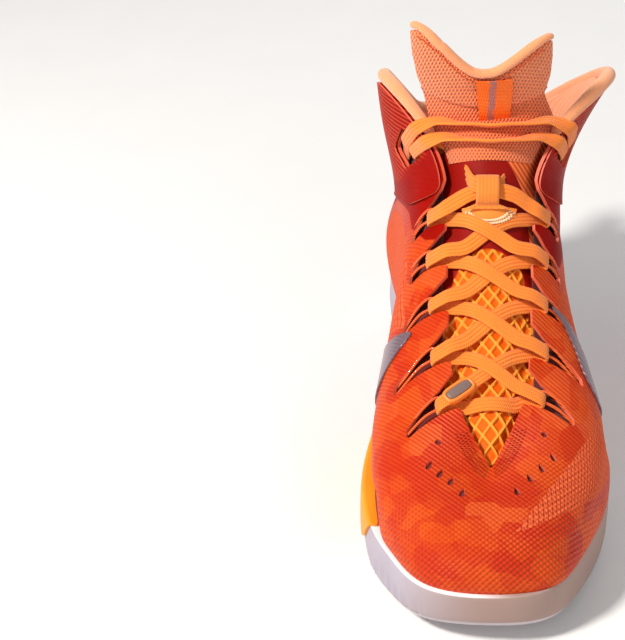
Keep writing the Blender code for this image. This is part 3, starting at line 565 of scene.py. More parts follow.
def slab(name, front, back, mat):
    """A closed pad between two grids of points."""
    count_a, count_b = front.shape[:2]
    n = count_a * count_b
    faces = grid_faces(count_a, count_b)
    faces += [[i + n for i in f[::-1]] for f in faces]
    index = np.arange(n).reshape(count_a, count_b)
    border = np.concatenate([index[:, 0], index[-1, 1:], index[-2::-1, -1], index[0, -2:0:-1]])
    faces += [(a, b, b + n, a + n) for a, b in zip(border, np.roll(border, -1))]
    points = np.concatenate([front.reshape(-1, 3), back.reshape(-1, 3)])
    return orient(add_mesh(name, points, faces, mat))


def positions(obj):
    flat = np.zeros(len(obj.data.vertices) * 3, np.float32)
    obj.data.vertices.foreach_get("co", flat)
    return flat.reshape(-1, 3)


def swell(obj, cap):
    """Blow a pad up a little as cloth, hold every point within cap millimetres and refine it."""
    frames = 20
    start = positions(obj)
    cloth = obj.modifiers.new("cloth", 'CLOTH')
    cloth.settings.quality = 6
    cloth.settings.mass = 0.2
    cloth.settings.tension_stiffness = 12
    cloth.settings.compression_stiffness = 12
    cloth.settings.use_pressure = True
    cloth.settings.uniform_pressure_force = 4.0
    cloth.settings.effector_weights.gravity = 0.0
    cloth.point_cache.frame_start = 1
    cloth.point_cache.frame_end = frames
    for frame_number in range(1, frames + 1):
        bpy.context.scene.frame_set(frame_number)
    apply_modifiers(obj)
    bpy.context.scene.frame_set(1)
    move = positions(obj) - start
    length = np.linalg.norm(move, axis=1, keepdims=True) + 1e-9
    limit = cap * 0.001
    now = start + move / length * limit * np.tanh(length / limit)
    obj.data.vertices.foreach_set("co", now.ravel())
    even_out = obj.modifiers.new("even", 'SMOOTH')
    even_out.factor = 0.5
    even_out.iterations = 3
    refine = obj.modifiers.new("refine", 'SUBSURF')
    refine.levels = refine.render_levels = 1
    apply_modifiers(obj)
    obj.data.shade_smooth()


def join(name, objects):
    """Join pieces that share a material list into one piece."""
    first = objects[0]
    bm = bmesh.new()
    for obj in objects:
        bm.from_mesh(obj.data)
    bm.to_mesh(first.data)
    bm.free()
    for obj in objects[1:]:
        bpy.data.objects.remove(obj)
    first.name = name
    return first


def stitches(name, line, mat, length, gap, radius):
    """A row of thread stitches along a line of points."""
    step = 0.3
    dense = even(line, step)
    per, skip = int(length / step), int(gap / step)
    runs = [dense[i:i + per] for i in range(0, len(dense) - per, per + skip)]
    return join(name, [tube(f"{name}_{i}", run, radius, mat, 6) for i, run in enumerate(runs)])


# ---------------------------------------------------------------- panels cut to an outline

def inside(polygon, points):
    """Even-odd test of points against a closed polygon."""
    x, y = points[:, 0], points[:, 1]
    result = np.zeros(len(points), bool)
    for (x0, y0), (x1, y1) in zip(polygon, np.roll(polygon, -1, 0)):
        if y0 != y1:
            result ^= ((y0 > y) != (y1 > y)) & (x < (x1 - x0) * (y - y0) / (y1 - y0) + x0)
    return result


def distance(polygon, u, v):
    """Signed distance in rough millimetres to a polygon in station and row, positive inside."""
    scale = np.array([STATION_MM, ROW_MM])
    p = np.stack([u.ravel(), v.ravel()], 1) * scale
    poly = np.array(polygon, float) * scale
    best = np.full(len(p), 1e9)
    for a, b in zip(poly, np.roll(poly, -1, 0)):
        way = b - a
        t = np.clip((p - a) @ way / (way @ way + 1e-9), 0, 1)
        best = np.minimum(best, np.linalg.norm(p - a - t[:, None] * way, axis=1))
    return np.where(inside(poly, p), best, -best).reshape(u.shape)


def densify(polygon, step):
    p = np.array(polygon, float)
    out = []
    for a, b in zip(p, np.roll(p, -1, 0)):
        n = max(1, int(math.ceil(np.abs(b - a).max() / step)))
        out += [a + (b - a) * k / n for k in range(n)]
    return np.array(out)


def round_corners(polygon, share, passes=2):
    """Cut each corner of a closed polygon a few times."""
    p = np.array(polygon, float)
    for _ in range(passes):
        after = np.roll(p, -1, 0)
        p = np.stack([p + (after - p) * share, p + (after - p) * (1 - share)], 1).reshape(-1, 2)
    return p


def fill_points(loops, step):
    """A grid of points inside the first loop and outside the others, clear of all their lines."""
    low, high = loops[0].min(0), loops[0].max(0)
    us = np.arange(low[0] + step * 0.37, high[0], step)
    vs = np.arange(low[1] + step * 0.41, high[1], step)
    free = np.stack([m.ravel() for m in np.meshgrid(us, vs, indexing='ij')], 1)
    free = free[inside(loops[0], free)]
    for index, loop in enumerate(loops):
        near = np.all((free > loop.min(0) - step) & (free < loop.max(0) + step), 1)
        part = free[near]
        gap = np.full(len(free), np.inf)
        gap[near] = reduce(np.minimum, (np.abs(part - q).max(1) for q in loop))
        keep = gap > step * 0.45
        if index:
            keep &= ~inside(loop, free)
        free = free[keep]
    return free


def panel(name, outline, holes, step, depth, thickness, materials, values=None, surface=skin):
    """A panel cut to an outline in signed station and row, with holes, thickened inwards."""
    loops = [densify(outline, step)] + [np.array(h, float) for h in holes]
    borders, start = [], 0
    for loop in loops:
        borders.append(list(range(start, start + len(loop))))
        start += len(loop)
    verts = [Vector(q) for q in np.concatenate(loops + [fill_points(loops, step)])]
    flat, _, triangles, _, _, _ = delaunay_2d_cdt(verts, [], borders, 0, 1e-6, False)
    at = np.array([tuple(q) for q in flat])
    triangles = np.array(triangles)
    middle = at[triangles].mean(1)
    keep = inside(loops[0], middle)
    for loop in loops[1:]:
        keep &= ~inside(loop, middle)
    triangles = triangles[keep]
    u, v = at.T
    points = surface(u, v, depth(u, v) if callable(depth) else depth)
    obj = add_mesh(name, points, triangles, materials, {key: f(u, v) for key, f in (values or {}).items()})
    a, b, c = points[triangles[0]]
    u, v = at[triangles[0][0]]
    outward = surface(u, v, -1.0) - surface(u, v, 0.0)
    if np.cross(b - a, c - a) @ outward < 0:
        obj.data.flip_normals()
    return thicken(obj, thickness, 1)


# ---------------------------------------------------------------- camera, light and floor

def build_camera():
    """The photograph's camera, fitted to the shoe's proportions."""
    yaw, pitch, roll = -0.0811, 0.5583, -0.0308
    ahead = np.array([math.sin(yaw) * math.cos(pitch), math.cos(yaw) * math.cos(pitch), -math.sin(pitch)])
    level = np.array([math.cos(yaw), -math.sin(yaw), 0])
    upright = np.cross(level, ahead)
    right = level * math.cos(roll) + upright * math.sin(roll)
    up = upright * math.cos(roll) - level * math.sin(roll)
    data = bpy.data.cameras.new("camera")
    data.sensor_width = 36.0
    data.lens = 78.75
    data.clip_start = 0.01
    camera = bpy.data.objects.new("camera", data)
    pose = Matrix([Vector(right), Vector(up), Vector(-ahead)]).transposed().to_4x4()
    pose.translation = Vector(metres([-35.0957, -570.118, 421.5603]))
    camera.matrix_world = pose
    bpy.context.scene.collection.objects.link(camera)
    bpy.context.scene.camera = camera


def add_lamp(name, spot, energy, size, colour):
    light = bpy.data.lights.new(name, 'AREA')
    light.shape = 'DISK'
    light.energy = energy
    light.size = size
    light.color = colour
    obj = bpy.data.objects.new(name, light)
    obj.location = spot
    obj.rotation_euler = (Vector((0, 0, 0.08)) - Vector(spot)).to_track_quat('-Z', 'Y').to_euler()
    bpy.context.scene.collection.objects.link(obj)


def build_stage():
    build_camera()
    add_lamp("key", (-0.85, -0.62, 1.2), 25.5, 0.22, (1.0, 0.96, 0.9))
    add_lamp("fill", (0.7, -1.1, 0.7), 3.2, 0.9, (1.0, 0.97, 0.95))
    add_lamp("back", (0.3, 1.1, 0.9), 4.0, 0.9, (1.0, 0.98, 0.96))
    world = bpy.data.worlds.new("studio")
    world.use_nodes = True
    background = world.node_tree.nodes["Background"]
    background.inputs["Color"].default_value = (1, 1, 1, 1)
    background.inputs["Strength"].default_value = 0.36
    bpy.context.scene.world = world
    bpy.context.scene.view_settings.view_transform = 'Standard'
    p = Paint("floor", 0.9)
    mat = p.colour(p.mix(p.noise(60.0), srgb(236, 236, 236), srgb(240, 240, 240)))
    reach, below = 3000, -0.2
    corners = [(-reach, -reach, below), (reach, -reach, below), (reach, reach, below), (-reach, reach, below)]
    add_mesh("floor", corners, [(0, 1, 2, 3)], mat)


# ---------------------------------------------------------------- the upper

def notch(k):
    """Wedge at loop station k that opens at the throat edge and points down towards the sole."""
    tip = dict(zip(LOOP_STATIONS, (3.75, 3.5, 3.65, 3.95, 3.95)))[k]
    wedge = ((-0.10, 5.2), (-0.10, 4.75), (-0.16, 4.4), (-0.31, tip + 0.06), (-0.27, tip),
             (-0.16, tip + 0.02), (0.09, 4.2), (0.25, 4.55), (0.46, 4.85), (0.50, 5.2))
    return [(k + du, min(v, FINGER_TOP)) for du, v in wedge]


# Slot for the top lace run in each ankle wing
TOP_SLOT = [(7.78, 4.30), (7.80, 4.20), (7.86, 4.16), (8.22, 4.16), (8.30, 4.20), (8.32, 4.30),
            (8.32, 4.62), (8.28, 4.70), (8.22, 4.73), (7.86, 4.73), (7.80, 4.70), (7.78, 4.62)]


def upper_outline():
    """Outline of the fused upper: along the margin, up the heel seams and along the notched throat."""
    edge = [(1.2, 5.0), (2.5, 5.0), (3.1, 4.95)]
    for k in LOOP_STATIONS:
        edge += notch(k)
    edge += [(7.3, 5.0), (8.5, 5.0), (8.9, 4.97), (9.3, 4.9), (10.0, 4.88), (10.98, 4.88)]
    return [(-10.98, 0.25), (10.98, 0.25)] + edge[::-1] + [(0.0, 5.0)] + mirrored(edge, -1)


def slit(u, v, way, length, width):
    """A teardrop hole at signed station u and row v, long axis along the direction way."""
    point = skin(u, v)
    jacobian = np.stack([skin(u + 0.01, v) - point, skin(u, v + 0.01) - point], 1) / 0.01
    normal = unit(np.cross(jacobian[:, 0], jacobian[:, 1]))
    way = unit(way - normal * normal.dot(way))
    turn = np.linspace(0, 2 * math.pi, 14, endpoint=False)
    x, y = np.cos(turn) * length / 2, np.sin(turn) * width / 2 * (1 + 0.4 * np.cos(turn))
    flat = x[:, None] * way + y[:, None] * np.cross(normal, way)
    return flat @ np.linalg.pinv(jacobian).T + np.array([u, v])


def vents():
    """On each side a round eyelet and four teardrops that lean outwards."""
    out = []
    for side in (1, -1):
        out.append(slit(side * 2.85, 4.33, (0, 1, 0), 2.9, 2.9))
        for u, v, lean in ((2.42, 4.02, 0.5), (2.02, 4.12, 0.45), (1.58, 4.19, 0.4), (0.98, 4.15, 0.25)):
            out.append(slit(side * u, v, (side * lean, -1, 0), 4.6, 2.3))
    return out


MESH_ZONES = (
    [(3.3, 3.3), (2.85, 3.55), (2.3, 3.7), (1.75, 3.75), (1.05, 3.65), (0.5, 3.3), (1.2, 3.3), (1.7, 3.15),
     (2.2, 2.85), (2.75, 2.25), (3.3, 1.8), (3.9, 1.9), (4.1, 2.4), (3.8, 3.0)],
    [(-4.9, 1.0), (-4.7, 2.3), (-5.2, 3.2), (-5.0, 3.75), (-5.6, 3.7), (-6.0, 3.85), (-6.7, 3.55),
     (-7.4, 3.3), (-9.0, 2.5), (-9.5, 1.0)],
    [(5.6, 1.0), (5.1, 2.2), (4.9, 3.4), (5.4, 3.9), (6.2, 3.6), (6.8, 3.2), (7.0, 1.0)],
)
RED_ZONES = (
    [(-6.25, 5.3), (-6.3, 4.4), (-6.65, 3.85), (-7.0, 3.75), (-8.0, 3.2), (-9.4, 2.5), (-11.2, 2.2),
     (-11.2, 5.3)],
    [(5.75, 5.3), (5.9, 4.3), (6.0, 3.9), (6.7, 3.3), (7.0, 1.0), (11.2, 0.5), (11.2, 5.3)],
)


def zone(polygons):
    """A field in rough millimetres, positive inside any of the polygons."""
    return lambda u, v: np.max([distance(poly, u, v) for poly in polygons], 0)


def flat_field(value):
    """A field that is the same everywhere."""
    return lambda u, v: np.full(u.shape, float(value))


def line_zone(u, v):
    """The part of the ankle wings' outer faces that carries fine level lines."""
    fade = 30.0 * smooth(3.9, 3.1, v)
    return np.minimum((np.abs(u) - 7.75) * STATION_MM, 20.0) - 4.0 * smooth(4.75, 5.0, v) - fade


ALL_RED = {"mesh": flat_field(-9), "red": flat_field(9), "toe": flat_field(0)}


def dimple(u, v, at_u, at_v, size_u):
    return np.exp(-((u - at_u) / size_u) ** 2 - ((v - at_v) / 0.5) ** 2)


def shell_depth(u, v):
    """Small shape of the skin: lifted throat fingers, creases over the flex line and the ankle dents."""
    a = np.abs(u)
    near = np.min([np.abs(a - k - 0.05) for k in LOOP_STATIONS], 0)
    fingers = 0.9 * smooth(4.3, 5.0, v) * smooth(3.1, 3.5, a) * smooth(7.4, 7.0, a) * smooth(0.05, 0.42, near)
    pull = 0.54 * np.exp(-(near / 0.14) ** 2) * smooth(3.0, 3.8, v) * smooth(5.0, 4.4, v)
    pull = pull * smooth(7.2, 6.8, a)
    crease = 0.225 * np.sin(a * 9.0 + 2.2 * v) * smooth(2.2, 2.9, a) * smooth(4.4, 3.6, a)
    crease = crease * smooth(1.2, 2.0, v) * smooth(4.3, 3.6, v)
    dents = 3.4 * dimple(u, v, -6.25, 2.75, 0.34) + 2.2 * dimple(u, v, 7.0, 3.0, 0.35)
    toe_roll = (1.7 + 2.0 * smooth(0.4, 1.4, u)) * smooth(2.4, 1.2, v) * smooth(5.5, 4.0, a)
    tuck = 3.6 * smooth(2.8, 1.5, v) * smooth(-2.4, -3.2, u) * smooth(-5.8, -4.8, u)
    return pull + crease + dents + tuck - fingers - toe_roll


def build_upper(film, edge):
    values = {
        "mesh": zone(MESH_ZONES),
        "red": zone(RED_ZONES),
        "toe": lambda u, v: smooth(3.4, 1.6, np.abs(u)) * smooth(4.9, 4.2, v),
        "lines": line_zone,
        "row": lambda u, v: (5.0 - v) * 20.0,
        "run": lambda u, v: np.abs(u) * 30.0,
    }
    holes = vents() + [mirrored(TOP_SLOT, side) for side in (1, -1)]
    upper = panel("fused_upper", upper_outline(), holes, UPPER_STEP, shell_depth, SHELL, [film, edge], values)
    declare(upper, "shoe", "red_orange_shell",
            "toe_box", "quarter_lateral", "quarter_medial", "eyestay_lateral", "eyestay_medial")
    knit = fabric_paint("vent_mesh", srgb(140, 24, 8), srgb(84, 6, 2), 1.0, 0.12, 0.9, 0.2)
    for side, name in SIDES:
        patch = mirrored(((0.6, 3.9), (2.9, 3.8), (3.15, 4.1), (3.1, 4.55), (0.6, 4.45)), side)
        backing = panel("vent_mesh_" + name, patch, [], 0.12, 1.9, 0.5, [knit, knit])
        declare(backing, "shoe", "red_orange_shell")
    outline = [(11.02, 0.25), (12.98, 0.25), (12.98, 4.88), (11.02, 4.88)]
    values = {**ALL_RED, "lines": flat_field(-9)}
    heel = panel("heel_shell", outline, [], UPPER_STEP, 0.0, SHELL, [film, edge], values)
    declare(heel, "shoe", "heel_shell", "heel_panel")


WRAP_LOW_EDGE = [(7.0, 4.1), (7.12, 3.84), (7.5, 3.58), (8.0, 3.3), (8.7, 2.95), (9.4, 2.7), (10.2, 2.62),
                 (10.9, 2.62)]
WRAP_TOP_EDGE = [(10.9, 4.86), (10.0, 4.84), (9.3, 4.86), (8.95, 4.93), (8.5, 4.97), (7.4, 4.97), (7.12, 4.9),
                 (7.0, 4.5)]


def build_wraps(film, edge):
    """Ankle wraps: a second layer over each rear quarter, whose lower edge shows as a step."""
    values = {**ALL_RED, "lines": line_zone}
    for side, name in SIDES:
        outline = mirrored(round_corners(WRAP_LOW_EDGE + WRAP_TOP_EDGE, 0.25), side)
        holes = [mirrored(TOP_SLOT, side)]
        wrap = panel("ankle_wrap_" + name, outline, holes, 0.07, -0.95, 0.8, [film, edge], values)
        declare(wrap, "shoe", "deep_red_shell")


def build_seams():
    """Rows of stitching up both edges of the heel shell and along each ankle wrap's lower edge."""
    thread = thread_paint("seam_cotton", srgb(240, 130, 84), srgb(206, 78, 40))
    heel_row = [(10.95, v) for v in np.linspace(2.75, 4.8, 24)]
    wrap_row = [(u, v + 0.07) for u, v in [(7.6, 3.52)] + WRAP_LOW_EDGE[3:7]]
    pieces = []
    for side in (1, -1):
        for row in (heel_row, wrap_row):
            at = np.array(mirrored(row, side))
            line = through(skin(at[:, 0], at[:, 1], -1.1), 120)
            pieces.append(stitches(f"seam_{len(pieces)}", line, thread, 2.4, 1.2, 0.34))
    declare(join("ankle_seams", pieces), "shoe", "deep_red_shell")


FLASHES = {
    "medial": (-1, [(4.8, 4.1), (4.62, 3.45), (4.5, 2.75), (4.62, 2.1), (5.0, 1.62), (5.75, 1.5), (5.45, 2.3),
                    (5.1, 3.0), (4.93, 3.6)]),
    "lateral": (1, [(5.2, 4.4), (4.92, 3.95), (4.62, 3.65), (4.2, 3.35), (4.05, 2.85), (4.25, 2.2),
                    (4.7, 1.55), (5.3, 1.5), (4.85, 2.4), (4.72, 3.1), (4.98, 3.65), (5.1, 4.0)]),
}


def build_flashes():
    """Plain tapered flash on each side, a satin film with a soft edge."""
    p = Paint("satin_flash", 0.32, Metallic=0.35, Coat_Weight=0.2)
    brushed = p.noise(1.0, 2.0, p.stretched((3.0, 0.3, 3.0)))
    tone = p.plus(p.times(brushed, 0.5), p.times(p.noise(25.0), 0.5))
    p.bump(p.wave(RIDGE_WAY, RIDGE_PITCH), 0.06)
    mat = p.colour(p.mix(tone, srgb(104, 82, 92), srgb(146, 122, 134)))

    def raised(u, v):
        return shell_depth(u, v) - 1.0

    for name, (side, shape) in FLASHES.items():
        outline = round_corners(mirrored(shape, side), 0.22)
        flash = panel("side_flash_skin_" + name, outline, [], 0.05, raised, 0.8, [mat, mat])
        declare(flash, "shoe", "silver_flash", "side_flash_" + name)


def build_heel_clip():
    """Heel counter clip with a rib on each side and level bars between them."""
    plastic = moulded_paint("heel_clip_plastic", srgb(196, 40, 12), srgb(150, 18, 6), 0.7, 0.04, 0.34)
    shape = [(10.3, 1.2), (10.5, 2.1), (11.0, 2.75), (12.0, 3.05), (13.0, 2.75), (13.5, 2.1), (13.7, 1.2),
             (12.0, 1.05)]
    outline = round_corners(shape, 0.25, 3)

    def crown(u, v):
        aside = np.abs(u - 12)
        rib = np.exp(-((aside - 0.85 + 0.25 * (v - 2)) / 0.07) ** 2)
        bars = np.cos(v * 2 * math.pi / 0.24) * smooth(0.62, 0.52, aside) * smooth(1.45, 1.6, v)
        inner = smooth(0.0, 8.0, distance(outline, u, v))
        return -1.9 - 0.9 * inner - 0.8 * rib * inner - 0.35 * bars * smooth(2.75, 2.55, v)

    clip = panel("heel_clip", outline, [], 0.045, crown, 1.5, [plastic, plastic])
    declare(clip, "shoe", "heel_clip", "heel_counter")


def build_pull_tab():
    """Webbing loop above the heel clip."""
    base = skin(12.0, 4.55, -2.0)
    loop = [(0.0, -4.0), (0.2, 3.0), (0.6, 9.0), (2.6, 14.0), (5.6, 15.5), (8.4, 13.0), (8.4, 7.0),
            (5.6, 0.5), (2.8, -5.0)]
    line = through([base + np.array([0.0, y, z]) for y, z in loop], 90)
    across = np.tile([1.0, 0, 0], (len(line), 1))
    strap = webbing_paint("pull_strap", srgb(226, 70, 30), srgb(170, 26, 8))
    declare(band("pull_strap", line, across, 13.0, 1.4, strap), "heel_tab", "pull_webbing", "pull_tab")


# ---------------------------------------------------------------- padding, piping and lining

def lining_depth(u, v):
    share = smooth(8.5, 9.2, np.abs(u)) * smooth(2.9, 3.5, v)
    return LINING_FRONT + (LINING_COLLAR - LINING_FRONT) * share


def build_collar_pad():
    """One cushion round the collar, thinner towards its edges."""
    fleece = fabric_paint("collar_cloth", PEACH, srgb(238, 120, 62), 0.8, 0.10, 0.9, 0.45)
    us = np.linspace(8.6, STATIONS - 8.6, 110)
    vs = np.linspace(3.45, 4.9, 18)
    uu, vv = np.meshgrid(us, vs, indexing='ij')
    ends = np.linspace(-1, 1, len(us)), np.linspace(-1, 1, len(vs))
    round_off = np.sqrt(np.outer(1.02 - ends[0] ** 30, 1.02 - ends[1] ** 6))
    front, back = skin(uu, vv, 5.4 - 2.8 * round_off), skin(uu, vv, 5.4 + 3.2 * round_off)
    cushion = slab("collar_cushion", front, back, fleece)
    swell(cushion, 2.5)
    declare(cushion, "shoe", "padding", "collar_pad_lateral", "collar_pad_medial", "achilles_pad")


def build_rim():
    """Piping along the collar's edge and down the front edge of both wings."""
    cloth = fabric_paint("piping_cloth", srgb(253, 178, 120), srgb(244, 140, 84), 0.75, 0.10, 0.9, 0.5)
    front = [(8.05, 5.0, 2.6), (8.3, 5.05, 1.7), (8.6, 5.07, 1.4), (8.95, 5.03, 1.8), (9.3, 4.97, 3.0)]
    path = front + [(u, 4.93, 4.6) for u in np.linspace(9.8, STATIONS - 9.8, 30)]
    path += [(STATIONS - u, v, d) for u, v, d in front[::-1]]
    line = even(through([skin(u, v, d) for u, v, d in path], 400), 1.6)
    share = np.linspace(0, 1, len(line))
    radii = 0.82 + 0.22 * smooth(0.02, 0.10, share) * smooth(0.98, 0.90, share)
    rim = tube("collar_piping", line, RIM_RADIUS, cloth, 20, radii)
    declare(rim, "shoe", "peach_piping", "collar_rim")


def build_lining():
    """Inner sleeve of each side, dark in front and peach round the ankle."""
    p = Paint("lining_cloth", 0.88, Sheen_Weight=0.3)
    weave = cross_weave(p, 1.1)
    front = p.mix(p.noise(8.0), DARK_RED, srgb(120, 10, 4))
    rear = p.mix(p.noise(10.0, 3.0), srgb(226, 104, 56), srgb(244, 142, 92))
    rear = p.over(rear, srgb(180, 60, 26), p.step(weave, 0.2, 0.9), 0.4)
    p.bump(weave, 0.15)
    mat = p.colour(p.mix(p.step(p.value("rear"), 0.0, 1.0), front, rear))
    shape = [(0.03, 0.9), (11.97, 0.9), (11.97, 3.78), (9.1, 3.78), (8.8, 4.2), (8.6, 4.66), (0.9, 4.66),
             (0.03, 4.4)]
    for side, name in SIDES:
        piece = panel("inner_sleeve_" + name, mirrored(shape, side), [], 0.14, lining_depth, 0.9, [mat, mat],
                      {"rear": lambda u, v: smooth(8.0, 9.0, np.abs(u))})
        declare(piece, "shoe", "lining", "lining_" + name)


# ---------------------------------------------------------------- tongue

TONGUE_STATION_MM = 23.0
# Height of the tongue's middle over the throat's, by station
TONGUE_LIFT = ((1.2, -5.0), (3.0, -0.8), (6.0, 0.0), (7.0, 5.0), (8.0, 9.0), (8.3, 10.0))
# Rows of the padded top, upwards: centre, half width, and how far the sides drop back
TOP_ROWS = (((-2, 20.5, 164), 27.5, 9), ((-3, 16.5, 174), 30.5, 10), ((-4, 11.5, 184), 31.5, 11),
            ((-5, 7.0, 196), 31.5, 12), ((-5, 4.0, 208), 31, 13))


def throat(us):
    """Middle of the throat at stations us, with its outward and upward directions."""
    def middle(s):
        return (skin(s, 5.0) + skin(STATIONS - s, 5.0)) / 2
    along = middle(us + 0.1) - middle(us - 0.1)
    along = unit(along * [0, 1, 1])
    out = np.stack([0 * along[:, 0], -along[:, 2], along[:, 1]], 1)
    return middle(us), out, along


def tongue(us, gs, depth=0.0):
    """Grid of the tongue's outer face: g is 0 in the middle, 1 under each throat edge, 2 at its side."""
    us, gs = np.atleast_1d(np.asarray(us, float)), np.atleast_1d(np.asarray(gs, float))
    lift = np.interp(us, *zip(*TONGUE_LIFT))
    middle, out, _ = throat(us)
    centre = middle + out * (lift - depth)[:, None]
    centre[:, 0] -= 2.0 * smooth(4, 8, us)
    grid = np.zeros((len(us), len(gs), 3))
    for sign in (1, -1):
        pick = gs >= 0 if sign > 0 else gs < 0
        s = us if sign > 0 else STATIONS - us
        edge = skin(s, 5.0, LINING_FRONT + 0.8 + depth)[:, None]
        wing = skin(s, 4.5, LINING_FRONT + 1.2 + depth)[:, None]
        a = np.abs(gs[pick])[None, :, None]
        mid = centre[:, None]
        near = mid * (1 - a ** 2) + edge * a ** 2 + (edge - mid) * (a - a ** 2) * np.array([1, 0, 0])
        grid[:, pick] = np.where(a <= 1, near, edge + (wing - edge) * (a - 1))
    return grid


def tongue_point(u, g, depth=0.0):
    return tongue(u, g, depth)[0, 0]


def top_point(t, g, depth=0.0):
    """Face of the padded tongue top; t counts rows upwards and g runs from side to side."""
    i = int(min(max(math.floor(t), 0), len(TOP_ROWS) - 2))
    f = t - i
    low, high = TOP_ROWS[i], TOP_ROWS[i + 1]
    centre = np.array(low[0]) * (1 - f) + np.array(high[0]) * f
    half = low[1] * (1 - f) + high[1] * f
    drop = low[2] * (1 - f) + high[2] * f
    rise = unit((np.array(high[0]) - np.array(low[0])) * [0, 1, 1])
    out = np.array([0.0, -rise[2], rise[1]])
    return centre + np.array([half * g, 0, 0]) - out * (drop * g * g + depth)


def top_edge(g):
    """Row of the top's upper edge: a valley between two peaks, the inner one higher."""
    a = abs(g)
    return 2.0 + (1.6 if g < 0 else 1.0) * smooth(0.0, 0.92, a) - 0.12 * smooth(0.92, 1.0, a)


def lattice_ridge(grid):
    """1 on the crossing ridges of the lattice and 0 between them; its cells shrink up the tongue."""
    middle = grid.shape[1] // 2
    run = run_along(grid[:, middle])
    steps = np.linalg.norm(np.diff(grid, axis=1), axis=2)
    across = np.concatenate([np.zeros((len(grid), 1)), np.cumsum(steps, 1)], 1)
    across -= across[:, middle - 1:middle]
    cell = np.interp(run, [15, 120], [7.2, 5.2])
    climb = np.concatenate([[0], np.cumsum(np.diff(run) / (1.28 * (cell[1:] + cell[:-1]) / 2))])[:, None]
    sideways = across / cell[:, None]
    ridge = np.zeros_like(across)
    for phase in (sideways + climb, sideways - climb):
        off = np.abs(phase - np.round(phase)) * cell[:, None] * 0.78
        ridge = np.maximum(ridge, 1 / (1 + (off / 0.62) ** 4))
    return ridge


def tongue_paint():
    """Yellow lattice over orange, red leather shield above it and knitted cloth at the top."""
    p = Paint("tongue_skin", 0.6, Specular_IOR_Level=0.15)
    lattice = p.mix(p.step(p.value("ridge"), 0.15, 0.75), srgb(226, 90, 2), srgb(252, 166, 62))
    lattice = p.over(lattice, srgb(244, 132, 18), p.noise(14.0, 3.0), 0.3)
    leather = p.mix(p.noise(10.0, 3.0), srgb(126, 6, 0), srgb(158, 14, 2))
    cloth = p.mix(p.step(p.wave((0.8, 0.2, 0.5), 1.7), -0.9, 0.6), srgb(206, 72, 24), srgb(244, 128, 72))
    rest = p.mix(p.step(p.value("shield"), -0.3, 0.3), cloth, leather)
    p.bump(p.noise(0.7, 3.0), 0.08)
    return p.colour(p.mix(p.step(p.value("lattice"), -0.3, 0.5), rest, lattice))


def build_tongue():
    us = np.linspace(1.3, 8.12, 330)
    side_gs = np.linspace(1.25, 2, 6)[1:]
    gs = np.concatenate([-side_gs[::-1], np.linspace(-1.25, 1.25, 84), side_gs])
    grid = tongue(us, gs)
    uu, gg = np.meshgrid(us, gs, indexing='ij')
    bound = (6.12 - 0.32 * gg ** 2 - uu) * TONGUE_STATION_MM
    in_lattice = smooth(-0.5, 0.9, bound)
    ridge = lattice_ridge(grid) * in_lattice
    normal = unit(np.cross(np.gradient(grid, axis=0), np.gradient(grid, axis=1)))
    normal *= np.sign(np.sum(normal * throat(us)[1][:, None], 2, keepdims=True))
    raised = 1.35 * ridge - 1.0 * in_lattice + 0.25 * (1 - in_lattice)
    grid = (grid + normal * raised[..., None])[:, ::-1]
    shield_top = np.where(gg > 0, 7.80 - 0.42 * np.abs(gg) - 0.35 * gg ** 2, 7.80 + 0.05 * gg)
    values = {"ridge": ridge, "shield": (shield_top - uu) * TONGUE_STATION_MM, "lattice": bound}
    values = {key: field[:, ::-1] for key, field in values.items()}
    body = sheet("tongue_lattice", grid, tongue_paint(), TONGUE_THICK, values)
    declare(body, "shoe", "lattice_foam", "tongue_body")


def build_tongue_pad():
    """Padded top with its piping and the seam below the piping."""
    cloth = hole_mesh_paint("tongue_mesh_cloth", srgb(254, 146, 88), srgb(250, 120, 58), srgb(186, 54, 14))
    gs = np.linspace(-1, 1, 49)
    rows = np.linspace(0, 1, 30)
    round_off = np.sqrt(np.outer(1.02 - (2 * rows - 1) ** 10, 1.02 - np.abs(gs) ** 8))[..., None]

    def face(depth):
        return np.array([[top_point((top_edge(g) - 0.22) * r, g, depth) for g in gs] for r in rows])

    middle, half = (face(0.9) + face(5.8)) / 2, (face(0.9) - face(5.8)) / 2 * round_off
    pad = slab("tongue_cushion", middle + half, middle - half, cloth)
    swell(pad, 1.2)
    declare(pad, "tongue_upper", "tongue_mesh", "tongue_top")

    cloth = fabric_paint("tongue_edge_cloth", srgb(253, 176, 118), srgb(244, 136, 78), 0.75, 0.10, 0.9, 0.5)
    edge = [top_point(top_edge(g) - 0.05, g, 2.6) for g in np.linspace(-0.95, 0.95, 61)]
    line = even(through(edge, 300), 1.2)
    share = np.linspace(0, 1, len(line))
    radii = 0.80 + 0.25 * smooth(0.0, 0.15, share) * smooth(1.0, 0.85, share)
    piping = tube("tongue_piping", line, 2.05, cloth, 18, radii)
    declare(piping, "tongue_upper", "peach_piping", "tongue_binding")

    thread = thread_paint("seam_thread", srgb(206, 74, 26), srgb(170, 44, 12))
    seam = [top_point(top_edge(g) - 0.33, g, -0.35) for g in np.linspace(-0.9, 0.9, 61)]
    row = stitches("tongue_seam", through(seam, 200), thread, 1.8, 0.9, 0.28)
    declare(row, "tongue_upper", "tongue_mesh")


